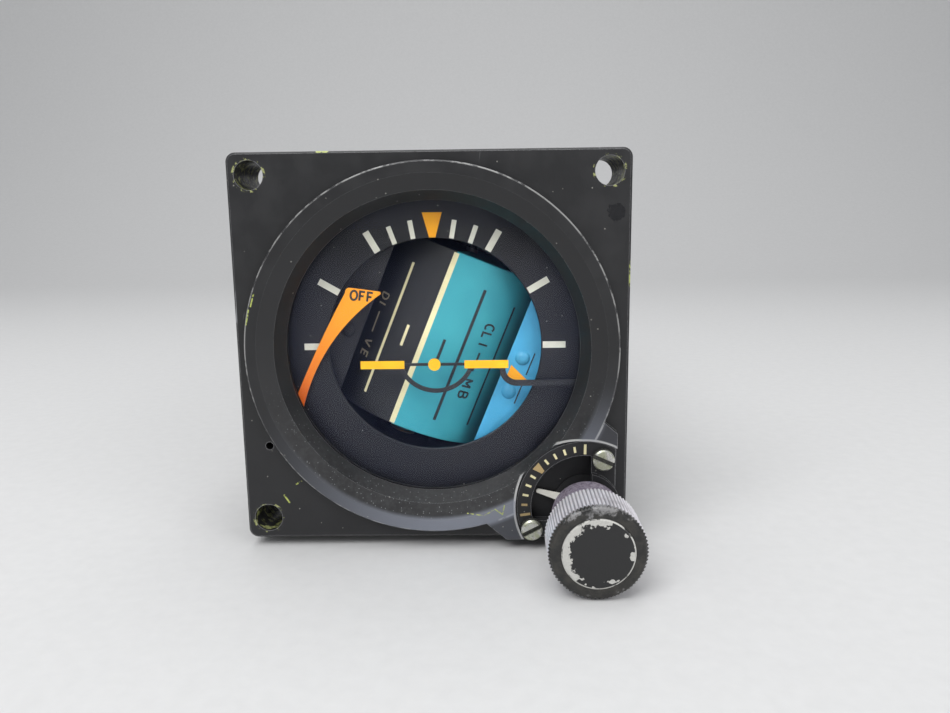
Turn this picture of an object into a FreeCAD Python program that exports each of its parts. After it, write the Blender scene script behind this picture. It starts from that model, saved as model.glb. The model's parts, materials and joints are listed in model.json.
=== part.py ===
"""Panel attitude indicator with its own electric gyro, built as separate pieces.

Frame: +X right, +Y into the instrument, +Z up, in millimetres.  The origin is on the
display axis, in the flange's front face, where the instrument panel seats.
The display is stored as a switched-off instrument stands: rolled over, with the flag out.
"""
import FreeCAD, Part
import math
import os

V = FreeCAD.Vector
AXIS_X = V(1, 0, 0)
AXIS_Y = V(0, 1, 0)
AXIS_Z = V(0, 0, 1)

# ---------------------------------------------------------------- clearances
RUN_FIT = 0.05          # radial clearance of a shaft in its hole
SEAT_FIT = 0.05         # radial clearance of a ring in its bore
SIDE_GAP = 0.3          # side clearance of a sliding or swinging piece
SINK = 0.6              # how far a cutter runs past the face that it cuts

# ---------------------------------------------------------------- flange and front
FLANGE_SIDE = 83.0
FLANGE_CORNER = 2.0
FLANGE_DEPTH = 18.0
FLANGE_HALF = FLANGE_SIDE / 2
HOLE_MARGIN = 4.6       # centre of a screw hole from the flange's sides
HOLE_AT = FLANGE_HALF - HOLE_MARGIN
HOLE_R = 3.0
EDGE_BREAK = 0.4
STOP_SCREW_R = 0.85     # small blind hole in the flange's left side
STOP_SCREW_Z = -20.5
STOP_SCREW_MARGIN = 5.7
STOP_SCREW_DEPTH = 4.0

# ---------------------------------------------------------------- case
CASE_MARGIN = 2.2       # case wall from the flange's sides
CASE_WALL = 1.4
CASE_R = FLANGE_HALF - CASE_MARGIN
CASE_BORE = CASE_R - CASE_WALL
SCALE_R = CASE_R - SEAT_FIT

CASE_SCREW_R = 1.0      # countersunk screws through the case wall
CASE_SCREW_HEAD = 1.9
CASE_SCREW_SINK = 1.0   # depth of the countersunk head
CASE_SCREW_LENGTH = 4.0
CASE_SCREW_BELOW = 0.15

# ---------------------------------------------------------------- window
CHAMBER_STEP = 0.3      # chamber bore below the case's bore
CLAMP_LAND = 1.8        # width of the step behind the clamping ring
CLAMP_LAP = 1.3         # clamping ring past the glass
GLASS_LEDGE = 3.0       # width of the lip that the glass rests on
GLASS_THICK = 1.8
GASKET_THICK = 0.3
CLAMP_THICK = 0.8
CLAMP_SETBACK = 0.4     # bore of the clamping ring behind the window's edge
CHAMBER_R = CASE_BORE - CHAMBER_STEP
CLAMP_R = CHAMBER_R - CLAMP_LAND
GLASS_R = CLAMP_R - CLAMP_LAP
WINDOW_R = GLASS_R - GLASS_LEDGE
CLAMP_BORE = WINDOW_R + CLAMP_SETBACK

# ---------------------------------------------------------------- raised ring and cone
LIP_WIDTH = 2.0         # sloped lip between the window and the cone's foot
LIP_RISE = 0.9          # how far the cone's foot stands in front of the flange face
LIP_EDGE = 0.4
CONE_WIDTH = 3.4
RING_LAND = 2.5         # flat front of the raised ring
RING_HEIGHT = 2.35      # raised ring above the flange, which locates in the panel
RING_BREAK = 0.25
WINDOW_LIP = 2.6        # depth of the lip's rear face
LIP_R = WINDOW_R + LIP_WIDTH
CONE_R = LIP_R + CONE_WIDTH
RAISED_R = CONE_R + RING_LAND
GLASS_Y = WINDOW_LIP + GASKET_THICK
CLAMP_Y = GLASS_Y + GLASS_THICK
CHAMBER_Y = CLAMP_Y + CLAMP_THICK

# ---------------------------------------------------------------- depths behind the window
SHEET = 0.4             # sheet that the aeroplane symbol is made of
FLAG_THICK = 0.3
SCALE_THICK = 0.8
SEAL_THICK = 0.4
SCALE_BORE = 23.5
SYMBOL_Y = CHAMBER_Y + SIDE_GAP
FLAG_Y = SYMBOL_Y + SHEET + 0.5
SCALE_Y = FLAG_Y + FLAG_THICK + 0.6
CASE_Y = SCALE_Y + SCALE_THICK + SEAL_THICK

# ---------------------------------------------------------------- knob corner
KNOB_X = FLANGE_HALF - 9.3
KNOB_Z = 7.4 - FLANGE_HALF
BOSS_SIDE_MARGIN = 2.4
BOSS_BOTTOM_MARGIN = 0.2
BOSS_CORNER = 6.0
BOSS_UP = 19.0          # where the boss leaves the raised ring, above the knob's axis
BOSS_LEFT = 21.2        # and left of it
BOSS_SHOULDER = 2.6     # height of its sloping shoulder
BOSS_FOOT = 4.4         # width of its sloping foot
BOSS_RIGHT = FLANGE_HALF - BOSS_SIDE_MARGIN
BOSS_BOTTOM = BOSS_BOTTOM_MARGIN - FLANGE_HALF
DIAL_R = 14.5
DIAL_THICK = 1.2
DIAL_SINK = 0.8         # depth of the dial plate below the raised ring's face
DIAL_WINDOW_R = 11.4
DIAL_WINDOW_RIGHT = 1.5     # the quarter window's edges from the knob's axis
DIAL_WINDOW_LOW = 3.2
DIAL_COLLAR_R = 7.8
DIAL_COLLAR_HEIGHT = 1.45
DIAL_SCREWS = ((4.0, 10.7), (-11.3, -4.9))     # from the knob's axis
DIAL_SCREW_R = 0.85
DIAL_SCREW_HEAD = 2.3
DIAL_SCREW_LENGTH = 4.6
POINTER_DISC_R = 6.4
POINTER_TIP_R = 10.7
POINTER_ANGLE = 163.0   # where the white pointer stands, from +X towards +Z
POINTER_THICK = 0.5
POINTER_CAVITY = 1.6    # depth of the cavity below the dial plate
BUSH_R = 4.0
SLEEVE_R = 2.4
KNOB_SHAFT_R = 1.5
KNOB_FACE_Y = -26.3
KNOB_HEAD_R = 9.5
KNOB_HEAD_LENGTH = 10.2
KNOB_HUB_R = 7.35
KNOB_HUB_Y = -6.0
KNOB_HUB_FOOT_R = 5.4
KNOB_HUB_FOOT = 3.0
KNOB_BEVEL = 0.6
KNOB_EDGE = 0.3
CAP_R = 7.05
CAP_THICK = 0.9
CAP_PROUD = 0.2
FORK_THICK = 0.8
FORK_SPACE = 0.2        # fork behind the case's end when the knob is pulled out
COLLAR_R = 2.8
COLLAR_THICK = 0.9
COLLAR_PLAY = 0.1
COVER_PLATE = 1.5       # thickness of the cover over the gear pocket
COVER_Y = FLANGE_DEPTH - COVER_PLATE
FORK_STACK = FORK_THICK + COLLAR_THICK + 2 * COLLAR_PLAY
CAGE_TRAVEL = COVER_Y - CASE_Y - FORK_SPACE - FORK_STACK    # pull of knob and cage rod
FORK_Y = CASE_Y + FORK_SPACE + CAGE_TRAVEL
COVER_LEFT = 13.2       # the pocket's edges from the knob's axis
COVER_UP = 15.1
COVER_RIGHT = 8.4
COVER_DOWN = 6.7
COVER_SCREW_MARGIN = 2.3
COVER_SCREW_R = 0.75
COVER_SCREW_HEAD = 1.4
COVER_SCREW_LENGTH = 3.5
DIAL_Y = DIAL_SINK - RING_HEIGHT
DIAL_FLOOR_Y = DIAL_Y + DIAL_THICK
CAVITY_Y = DIAL_FLOOR_Y + POINTER_CAVITY

# ---------------------------------------------------------------- symbol rack
RACK_MODULE = 0.4
PINION_TEETH = 15
RACK_THICK = 1.0
RACK_UP = 3.72          # travel of the symbol above its stored place
RACK_DOWN = 1.5
RACK_BACK = 2.5         # width of the bar behind its teeth
RACK_LAP = 1.15         # how far the bar's top laps over the carrier
CARRIER_SPACE = 1.2     # carrier inside the chamber's wall
CARRIER_WIDTH = 2.1
CARRIER_TOP_DEG = -11.0
RACK_Y = SYMBOL_Y + SHEET
RACK_END_Y = RACK_Y + RACK_THICK
PINION_R = RACK_MODULE * PINION_TEETH / 2
RACK_PITCH_X = KNOB_X - PINION_R
RACK_ROOT_X = RACK_PITCH_X - 1.15 * RACK_MODULE
RACK_TIP_X = RACK_PITCH_X + 0.85 * RACK_MODULE
RACK_BACK_X = RACK_ROOT_X - RACK_BACK
CARRIER_OUT = CHAMBER_R - CARRIER_SPACE
CARRIER_IN = CARRIER_OUT - CARRIER_WIDTH
RACK_TOP = -math.sqrt(CARRIER_OUT ** 2 - RACK_ROOT_X ** 2) - RACK_LAP
RACK_BOTTOM = KNOB_Z - RACK_UP - 2 * RACK_MODULE

# ---------------------------------------------------------------- aeroplane symbol
SYMBOL_Z = -3.9
BAR_IN = 6.6
BAR_OUT = 16.2
BAR_HEIGHT = 1.75
BAR_PAINT = 0.2         # thickness of the yellow bars on the sheet
DOT_R = 1.35
WIRE_HEIGHT = 0.6
BOW_R = 8.3
BOW_WIDTH = 0.95
BOW_X = 0.3
BOW_Z = 2.4             # centre of the bow above the symbol's line
ARM_WIDTH = 1.3
ARM_X = 14.9
ARM_DROP = 4.3
ARM_BEND_R = 3.2
ARM_PAD = 1.4           # half height of the pad that carries the arm

# ---------------------------------------------------------------- off flag
FLAG_SPACE = 2.25       # pivot inside the chamber's wall
FLAG_DEG = 208.74       # its place round the window, from +X towards +Z
FLAG_X = (CHAMBER_R - FLAG_SPACE) * math.cos(math.radians(FLAG_DEG))
FLAG_Z = (CHAMBER_R - FLAG_SPACE) * math.sin(math.radians(FLAG_DEG))
FLAG_HUB_R = 1.6
FLAG_PIN_R = 0.7
COIL_R = 2.2
COIL_LENGTH = 3.2
FLAG_OUTER = ((-0.4, 4.8), (4.4, 15.1), (11.8, 29.1))       # blade's edges from its pivot
FLAG_CORNER = ((11.8, 29.1), (12.1, 30.0), (12.8, 30.2))
FLAG_TIP = ((19.5, 29.1), (19.6, 28.6))
FLAG_INNER = ((19.6, 28.6), (8.8, 18.4), (1.6, 3.8))

# ---------------------------------------------------------------- display
ROLL_REST = 112.2       # stored roll, clockwise from the front
PITCH_REST = 6.3        # stored tilt of the gyro housing, nose up
ROLL_RING_SPACE = 6.4   # front ring of the roll frame inside the case
ROLL_RING_WALL = 2.2
ROLL_RING_LENGTH = 11.7
ROLL_R = CASE_BORE - ROLL_RING_SPACE
ROLL_BORE = ROLL_R - ROLL_RING_WALL
DRUM_SPACE = 8.1        # drum's rim and ends inside the roll frame's ring
DRUM_END_SPACE = 8.4
DRUM_WALL = 0.8
DRUM_FRONT = CASE_Y + 1.2
DRUM_AXLE_R = 1.5
DRUM_HUB = 2.0
DRUM_HUB_LENGTH = 5.0
DRUM_R = ROLL_BORE - DRUM_SPACE
DRUM_HALF = ROLL_BORE - DRUM_END_SPACE
DRUM_Y = DRUM_FRONT + DRUM_R
PLATE_Y = CASE_Y + 1.7
PLATE_THICK = 0.8
PLATE_R = ROLL_R - 0.5
PLATE_EDGE = 16.3       # height of the sky and ground plates' straight edges
PLATE_SCREW_X = 4.15
PLATE_SCREW_Z = 19.35
PLATE_SCREW_R = 1.7
PLATE_SHANK_R = 0.75
ROLL_RING_Y = PLATE_Y + PLATE_THICK
ROLL_RING_END = ROLL_RING_Y + ROLL_RING_LENGTH
ARM_SETBACK = 2.1       # side arms inside the ring's bore
ARM_IN = ROLL_BORE - ARM_SETBACK
ARM_THICK = 3.4
ARM_OUT = ARM_IN + ARM_THICK
ARM_HALF = 7.0
LUG_IN = PLATE_SCREW_Z - 1.95
LUG_HALF = 7.0
LUG_DEPTH = 2.6
SUPPORT_LENGTH = 4.0
SUPPORT_Y = ROLL_RING_END - SUPPORT_LENGTH - 0.5

# ---------------------------------------------------------------- gear train
GEAR_MODULE = 0.5
PITCH_GEAR_TEETH = 36
IDLER_TEETH = 36
DRUM_GEAR_TEETH = 30
GEAR_THICK = 2.0
GEAR_GAP = 3.1          # gears' outer faces past the drum's end
GEAR_X = -DRUM_HALF - GEAR_GAP
IDLER_PIN_R = 1.5
PITCH_GEAR_R = GEAR_MODULE * PITCH_GEAR_TEETH / 2
IDLER_R = GEAR_MODULE * IDLER_TEETH / 2
DRUM_GEAR_R = GEAR_MODULE * DRUM_GEAR_TEETH / 2
IDLER_B_Y = DRUM_Y + DRUM_GEAR_R + IDLER_R
IDLER_A_Y = IDLER_B_Y + 2 * IDLER_R
GYRO_Y = IDLER_A_Y + IDLER_R + PITCH_GEAR_R

# ---------------------------------------------------------------- gyro
GYRO_SPACE = 6.7        # housing inside the side arms
HOUSING_R = ARM_IN - GYRO_SPACE
HOUSING_WALL = 1.2
HOUSING_HALF = 11.5
BELL_HEIGHT = 5.0
BELL_TOP = HOUSING_HALF + BELL_HEIGHT
TRUNNION_R = 2.0
BUSH_WALL = 1.2
ROTOR_GAP = 0.9
ROTOR_R = HOUSING_R - HOUSING_WALL - ROTOR_GAP
ROTOR_HALF = HOUSING_HALF - 2.5
ROTOR_WEB = 3.0
ROTOR_RIM = 4.5
SPIN_SHAFT_R = 1.5
SPIN_BUSH_R = 3.2

# ---------------------------------------------------------------- rear of the roll frame
YOKE_SPACE = 9.8
YOKE_Y = GYRO_Y + HOUSING_R + YOKE_SPACE
YOKE_THICK = 4.0
YOKE_HALF = 9.0
YOKE_HUB_R = 8.0
ROLL_SHAFT_R = 3.0
BULKHEAD_Y = YOKE_Y + YOKE_THICK + 2.0
BULKHEAD_THICK = 4.0
BEARING_R = 8.0
BEARING_RACE = 1.6
BEARING_LENGTH = 4.0
SLIP_Y = BULKHEAD_Y + 8.0
SLIP_RING_R = 5.0
SLIP_RING_PITCH = 2.8
SLIP_RING_COUNT = 5
SLIP_GROOVE = 0.5
BRUSH_SPACE = 5.0       # post of the brushes beside the slip rings
BRUSH_POST = 4.0
BRUSH_TAIL = 2.0
BRUSH_DEPTH = 9.5       # foot and top of the post below the slip rings
BRUSH_RISE = 1.0
BRUSH_WIDTH = 1.0
BRUSH_THICK = 1.4
BRUSH_REACH = 2.0       # brushes past the shaft's axis
SLIP_END = SLIP_Y + SLIP_RING_COUNT * SLIP_RING_PITCH + 1.0
ROLL_SHAFT_END = SLIP_END + 3.0

# ---------------------------------------------------------------- cage rod
CAGE_ROD_R = 1.0
CAGE_ROD_SPACE = 3.2    # rod inside the case's bore
CAGE_ROD_AT = CASE_BORE - CAGE_ROD_SPACE
CAGE_ROD_END = YOKE_Y + 3.0
CAGE_SLOT = 5.0
FINGER_LENGTH = 2.5
FINGER_THICK = 1.5
GUIDE_Y = YOKE_Y - 14.0
GUIDE_LENGTH = 4.0
GUIDE_WIDTH = 12.0
GUIDE_SCREW_AT = 3.6    # distance of each guide screw from the rod, round the case

# ---------------------------------------------------------------- electrical end
BOARD_Y = ROLL_SHAFT_END + 4.0
BOARD_SPACE = 1.9       # board inside the case's bore
BOARD_R = CASE_BORE - BOARD_SPACE
BOARD_THICK = 1.6
PILLAR_R = 2.2
PILLAR_AT = BOARD_R - 5.0
PILLAR_STUD_R = 0.95
PILLAR_STUD = 2.0       # depth of its stud in the bulkhead
PILLAR_NUT_R = 2.0
PILLAR_NUT = 1.3
TOROID_R = 12.0
TOROID_BORE = 5.0
TOROID_HEIGHT = 11.0
TOROID_EDGE = 2.0
TOROID_Z = 16.0
CAPACITOR_R = 4.0
CAPACITOR_HEIGHT = 13.0
CAPACITOR_PITCH = 12.0
CAPACITOR_COUNT = 4
CAPACITOR_Z = -16.0
CASE_END = BOARD_Y + 30.0
COVER_THICK = 3.0
COVER_EDGE = 1.0
COVER_SPIGOT = 4.0
SPIGOT_WALL = 2.5
COVER_RECESS = 0.5      # inner face of the cover ahead of the case's end
COVER_SEAL = 0.4
PLUG_AT = 27.0
PLUG_DEG = 215.0
PLUG_R = 2.5
PLUG_HEAD_R = 4.0
PLUG_HEAD = 1.8
CONNECTOR_R = 9.5
CONNECTOR_WALL = 1.1
CONNECTOR_LENGTH = 13.0
CONNECTOR_FLANGE = 26.0
CONNECTOR_FLANGE_THICK = 2.0
CONNECTOR_SCREW_AT = 9.6
CONNECTOR_SCREW_R = 0.85
CONNECTOR_SCREW_HEAD = 1.9
CONNECTOR_SCREW_HEIGHT = 1.3
CONNECTOR_SCREW_LENGTH = 4.0
CONNECTOR_CORNER = 2.5
KEY_R = 0.9             # bayonet pins on the connector's barrel
KEY_SETBACK = 4.5
INSERT_FRONT = 3.0      # insert past the flange, and into the case
INSERT_REAR = 3.0
PIN_R = 0.5
PIN_LENGTH = 3.2
PIN_TAIL = 3.0          # pins past the insert's inner face
PIN_COUNT = 10
PIN_CIRCLE_R = 5.6
INNER_PIN_COUNT = 3
INNER_CIRCLE_R = 2.0


# ================================================================ helpers
def rod_y(radius, y0, y1, x=0.0, z=0.0):
    """A round rod along +Y."""
    return Part.makeCylinder(radius, y1 - y0, V(x, y0, z), AXIS_Y)


def tube_y(outer, bore, y0, y1, x=0.0, z=0.0):
    """A tube along +Y."""
    return rod_y(outer, y0, y1, x, z).cut(rod_y(bore, y0 - 1, y1 + 1, x, z))


def rod_x(radius, x0, x1, y=0.0, z=0.0):
    """A round rod along +X."""
    return Part.makeCylinder(radius, x1 - x0, V(x0, y, z), AXIS_X)


def tube_x(outer, bore, x0, x1, y=0.0, z=0.0):
    """A tube along +X."""
    return rod_x(outer, x0, x1, y, z).cut(rod_x(bore, x0 - 1, x1 + 1, y, z))


def block(x0, x1, y0, y1, z0, z1):
    """A box given by its limits."""
    return Part.makeBox(x1 - x0, y1 - y0, z1 - z0, V(x0, y0, z0))


def turned(profile, axis=AXIS_Y, at=V(0, 0, 0)):
    """A solid of revolution about an axis; the profile holds (radius, length) pairs."""
    if axis == AXIS_Y:
        points = [V(r, d, 0) for r, d in profile]
    elif axis == AXIS_X:
        points = [V(d, r, 0) for r, d in profile]
    else:
        points = [V(r, 0, d) for r, d in profile]
    face = Part.Face(Part.makePolygon(points + points[:1]))
    solid = face.revolve(V(0, 0, 0), axis, 360)
    solid.translate(at)
    return solid


def plate_y(points, y0, y1):
    """A flat plate between two depths; its outline holds (x, z) pairs."""
    corners = [V(x, y0, z) for x, z in points]
    face = Part.Face(Part.makePolygon(corners + corners[:1]))
    return face.extrude(V(0, y1 - y0, 0))


def fuse(shapes):
    """One solid out of pieces that meet."""
    return shapes[0].multiFuse(shapes[1:]).removeSplitter()


def polar(radius, degrees, x=0.0, z=0.0):
    """A point at an angle from +X towards +Z."""
    angle = math.radians(degrees)
    return x + radius * math.cos(angle), z + radius * math.sin(angle)


def sector_band(outer, bore, y0, y1, from_deg, to_deg):
    """Part of a ring about the display axis, between two angles."""
    ring = tube_y(outer, bore, y0, y1)
    reach = outer * 2
    middle = (from_deg + to_deg) / 2
    wedge = [(0, 0), polar(reach, from_deg), polar(reach, middle), polar(reach, to_deg)]
    return ring.common(plate_y(wedge, y0, y1))


def rolled(shape):
    """Turn a piece of the display from level to its stored roll."""
    turned_shape = shape.copy()
    turned_shape.rotate(V(0, 0, 0), AXIS_Y, ROLL_REST)
    return turned_shape


def tilted(shape):
    """Tilt a piece of the gyro housing to its stored pitch."""
    tilted_shape = shape.copy()
    tilted_shape.rotate(V(0, GYRO_Y, 0), AXIS_X, -PITCH_REST)
    return tilted_shape


def gear_outline(teeth, module, first_deg):
    """Points of a spur gear with straight-flanked teeth and a little backlash."""
    pitch_r = module * teeth / 2
    pitch_angle = 2 * math.pi / teeth
    tip = (pitch_r + 0.85 * module, 0.13)
    middle = (pitch_r, 0.225)
    root = (pitch_r - 1.15 * module, 0.34)
    points = []
    for number in range(teeth):
        centre = math.radians(first_deg) + number * pitch_angle
        for radius, share in (root, middle, tip):
            points.append((radius, centre - share * pitch_angle))
        for radius, share in (tip, middle, root):
            points.append((radius, centre + share * pitch_angle))
    return [(r * math.cos(a), r * math.sin(a)) for r, a in points]


def gear_x(teeth, module, y, bore, first_deg):
    """A spur gear across the side of the roll frame, with a web and a raised hub."""
    corners = [V(GEAR_X, y + u, w) for u, w in gear_outline(teeth, module, first_deg)]
    face = Part.Face(Part.makePolygon(corners + corners[:1]))
    gear = face.extrude(V(GEAR_THICK, 0, 0))
    rim = module * teeth / 2 - 4 * module
    hub = bore + BUSH_WALL
    recess = tube_x(rim, hub, GEAR_X - SINK, GEAR_X + GEAR_THICK / 4, y)
    return gear.cut(recess).cut(rod_x(bore, GEAR_X - 1, GEAR_X + GEAR_THICK + 1, y))


def slotted_screw(head_r, head_height, shank_r, shank_length, x, z, y, slot_deg=0.0):
    """A cheese-head screw driven along +Y; its head seats at depth y."""
    head = turned([(0, y - head_height), (head_r - 0.3, y - head_height),
                   (head_r, y - head_height + 0.3), (head_r, y), (shank_r, y),
                   (shank_r, y + shank_length), (0, y + shank_length)])
    slot = block(-head_r * 1.2, head_r * 1.2, y - head_height - SINK,
                 y - head_height / 2, -head_r * 0.2, head_r * 0.2)
    slot.rotate(V(0, 0, 0), AXIS_Y, slot_deg)
    screw = head.cut(slot)
    screw.translate(V(x, 0, z))
    return screw


def at_knob(shape):
    """Move a piece drawn on the display axis onto the knob's axis."""
    moved = shape.copy()
    moved.translate(V(KNOB_X, 0, KNOB_Z))
    return moved


# ================================================================ bezel
def boss_outline():
    """Outline of the raised corner that carries the knob, as (x, z) pairs."""
    inside = RAISED_R - SIDE_GAP
    up = KNOB_Z + BOSS_UP
    left = KNOB_X - BOSS_LEFT
    right_start = (math.sqrt(inside ** 2 - up ** 2), up)
    bottom_end = (left, -math.sqrt(inside ** 2 - left ** 2))
    corner = [polar(BOSS_CORNER, a, BOSS_RIGHT - BOSS_CORNER, BOSS_BOTTOM + BOSS_CORNER)
              for a in (0, -22.5, -45, -67.5, -90)]
    return ([(0, 0), right_start, (BOSS_RIGHT, up - BOSS_SHOULDER)] + corner
            + [(left + BOSS_FOOT, BOSS_BOTTOM), bottom_end])


def gear_pocket(grow=0.0):
    """The recess for the cover behind the knob's gear, or the cover when not grown."""
    left = KNOB_X - COVER_LEFT - grow
    right = KNOB_X + COVER_RIGHT + grow
    low = KNOB_Z - COVER_DOWN - grow
    high = KNOB_Z + COVER_UP + grow
    square = block(left, right, COVER_Y, FLANGE_DEPTH, low, high)
    return square.cut(rod_y(CASE_R + EDGE_BREAK - grow, COVER_Y - SINK, FLANGE_DEPTH + SINK))


def cover_screw_places():
    """Where the three screws of the gear cover stand, as (x, z)."""
    left = KNOB_X - COVER_LEFT + COVER_SCREW_MARGIN
    right = KNOB_X + COVER_RIGHT - COVER_SCREW_MARGIN
    low = KNOB_Z - COVER_DOWN + COVER_SCREW_MARGIN
    high = KNOB_Z + COVER_UP - COVER_SCREW_MARGIN
    return [(right, high), (left, low), (right, low)]


def cage_direction():
    """Unit vector in the face from the display axis to the knob's axis."""
    length = math.hypot(KNOB_X, KNOB_Z)
    return KNOB_X / length, KNOB_Z / length


def cage_slot_shape(y0, y1, width, reach_in, reach_out):
    """A straight bar along the line from the display axis to the knob."""
    bar = block(reach_in, reach_out, y0, y1, -width / 2, width / 2)
    bar.rotate(V(0, 0, 0), AXIS_Y, -math.degrees(math.atan2(KNOB_Z, KNOB_X)))
    return bar


def rack_slot():
    """The straight slot beside the pinion that the rack slides in."""
    return block(RACK_BACK_X - SIDE_GAP, RACK_PITCH_X + 1.0, CHAMBER_Y, FLANGE_DEPTH + SINK,
                 RACK_BOTTOM - RACK_DOWN - SIDE_GAP, RACK_TOP + RACK_DOWN)


def pointer_sweep(y0, y1, grow=0.0):
    """The quarter about the knob's axis that the pointer sweeps and its window shows."""
    right = DIAL_WINDOW_RIGHT + grow
    low = DIAL_WINDOW_LOW + grow
    radius = DIAL_WINDOW_R + grow
    quarter = block(-radius, right, y0, y1, -low, radius)
    return at_knob(quarter.common(rod_y(radius, y0 - SINK, y1 + SINK)))


def make_bezel():
    """Square flange, raised ring and knob corner, bored for all that it holds."""
    side = FLANGE_HALF
    body = block(-side, side, 0, FLANGE_DEPTH, -side, side)
    upright = [e for e in body.Edges if abs(e.tangentAt(0).y) > 0.9]
    body = body.makeFillet(FLANGE_CORNER, upright)
    front = [e for e in body.Edges if e.BoundBox.YMax < 0.01]
    body = body.makeChamfer(EDGE_BREAK, front)
    ring = turned([(0, 0.5), (RAISED_R, 0.5), (RAISED_R, RING_BREAK - RING_HEIGHT),
                   (RAISED_R - RING_BREAK, -RING_HEIGHT), (0, -RING_HEIGHT)])
    boss = plate_y(boss_outline(), -RING_HEIGHT, 0.5)
    bezel = fuse([body, ring, boss])
    bore = turned([(0, -RING_HEIGHT - SINK), (CONE_R + SINK, -RING_HEIGHT - SINK),
                   (CONE_R, -RING_HEIGHT), (LIP_R, -LIP_RISE),
                   (WINDOW_R, WINDOW_LIP - LIP_EDGE), (WINDOW_R, WINDOW_LIP),
                   (GLASS_R + SEAT_FIT, WINDOW_LIP), (GLASS_R + SEAT_FIT, CLAMP_Y),
                   (CLAMP_R + SEAT_FIT, CLAMP_Y), (CLAMP_R + SEAT_FIT, CHAMBER_Y),
                   (CHAMBER_R, CHAMBER_Y), (CHAMBER_R, SCALE_Y),
                   (CASE_R + SEAT_FIT, SCALE_Y), (CASE_R + SEAT_FIT, FLANGE_DEPTH + SINK),
                   (0, FLANGE_DEPTH + SINK)])
    cuts = [bore]
    for x, z in ((-HOLE_AT, HOLE_AT), (HOLE_AT, HOLE_AT), (-HOLE_AT, -HOLE_AT)):
        cuts.append(rod_y(HOLE_R, -SINK, FLANGE_DEPTH + SINK, x, z))
    cuts.append(rod_y(STOP_SCREW_R, -SINK, STOP_SCREW_DEPTH,
                      STOP_SCREW_MARGIN - FLANGE_HALF, STOP_SCREW_Z))
    cuts.append(at_knob(rod_y(DIAL_R + SIDE_GAP, -RING_HEIGHT - SINK, DIAL_FLOOR_Y)))
    cuts.append(pointer_sweep(DIAL_FLOOR_Y - SINK, CAVITY_Y, SIDE_GAP))
    cuts.append(at_knob(rod_y(POINTER_DISC_R + SIDE_GAP, DIAL_FLOOR_Y - SINK, CAVITY_Y)))
    cuts.append(at_knob(rod_y(BUSH_R, CAVITY_Y - SINK, CHAMBER_Y + SINK)))
    pinion_tip = PINION_R + RACK_MODULE + SIDE_GAP * 2
    cuts.append(at_knob(rod_y(pinion_tip, CHAMBER_Y, FLANGE_DEPTH + SINK)))
    cuts.append(rack_slot())
    knob_at = math.hypot(KNOB_X, KNOB_Z)
    cuts.append(cage_slot_shape(CASE_Y, FLANGE_DEPTH + SINK, CAGE_SLOT, CHAMBER_R, knob_at))
    cuts.append(gear_pocket(SEAT_FIT))
    for x, z in cover_screw_places():
        cuts.append(rod_y(COVER_SCREW_R + RUN_FIT, COVER_Y - COVER_SCREW_LENGTH - SINK,
                          COVER_Y + SINK, x, z))
    for x, z in dial_screw_places():
        cuts.append(rod_y(DIAL_SCREW_R + RUN_FIT, DIAL_FLOOR_Y - SINK,
                          DIAL_Y + DIAL_SCREW_LENGTH + SINK, x, z))
    return bezel.cut(fuse(cuts[1:])).cut(bore)


# ================================================================ window and scale
def make_window():
    """Gasket, glass and clamping ring, stacked behind the lip."""
    return {
        "window_gasket": tube_y(GLASS_R, WINDOW_R + SIDE_GAP, WINDOW_LIP, GLASS_Y),
        "window_glass": rod_y(GLASS_R, GLASS_Y, CLAMP_Y),
        "window_clamp_ring": tube_y(CLAMP_R, CLAMP_BORE, CLAMP_Y, CHAMBER_Y),
    }


def make_bank_scale():
    """Ring plate with the bank marks, clamped between the bezel's step and the case."""
    scale = tube_y(SCALE_R, SCALE_BORE, SCALE_Y, SCALE_Y + SCALE_THICK)
    rim = [e for e in scale.Edges
           if e.BoundBox.YMax < SCALE_Y + 0.01 and e.BoundBox.XMax < SCALE_BORE + 1]
    scale = scale.makeChamfer(0.2, rim)
    spindle = rod_y(FLAG_PIN_R + SIDE_GAP, SCALE_Y - 1, CASE_Y + 1, FLAG_X, FLAG_Z)
    seal = tube_y(SCALE_R, CASE_BORE, SCALE_Y + SCALE_THICK, CASE_Y)
    return {"bank_scale": scale.cut(spindle), "case_front_seal": seal}


# ================================================================ knob corner
def dial_screw_places():
    """Where the two screws of the dial plate stand, as (x, z)."""
    return [(KNOB_X + x, KNOB_Z + z) for x, z in DIAL_SCREWS]


def dial_limits(y0, y1):
    """The part of the corner that the dial plate may fill."""
    return block(0, BOSS_RIGHT - SIDE_GAP, y0, y1, BOSS_BOTTOM + SIDE_GAP, 0)


def make_dial():
    """Dial plate with its quarter window and collar, and its two screws."""
    rear = DIAL_Y + DIAL_THICK
    front = DIAL_Y - DIAL_COLLAR_HEIGHT
    plate = at_knob(rod_y(DIAL_R, DIAL_Y, rear))
    collar = at_knob(rod_y(DIAL_COLLAR_R, front, DIAL_Y))
    plate = fuse([plate.common(dial_limits(DIAL_Y, rear)), collar])
    plate = plate.cut(pointer_sweep(front - SINK, rear + SINK))
    plate = plate.cut(at_knob(rod_y(SLEEVE_R + SIDE_GAP, front - SINK, rear + SINK)))
    screws = []
    for (x, z), turn in zip(dial_screw_places(), (24.0, -28.0)):
        plate = plate.cut(rod_y(DIAL_SCREW_R + 3 * RUN_FIT, DIAL_Y - SINK, rear + SINK, x, z))
        screws.append(slotted_screw(DIAL_SCREW_HEAD, 1.7, DIAL_SCREW_R, DIAL_SCREW_LENGTH,
                                    x, z, DIAL_Y, turn))
    return {"trim_dial": plate, "trim_dial_screws": Part.makeCompound(screws)}


def make_knob_bush():
    """Flanged bush in the corner for the trim sleeve."""
    return at_knob(tube_y(BUSH_R, SLEEVE_R + RUN_FIT, CAVITY_Y, CHAMBER_Y))


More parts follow.
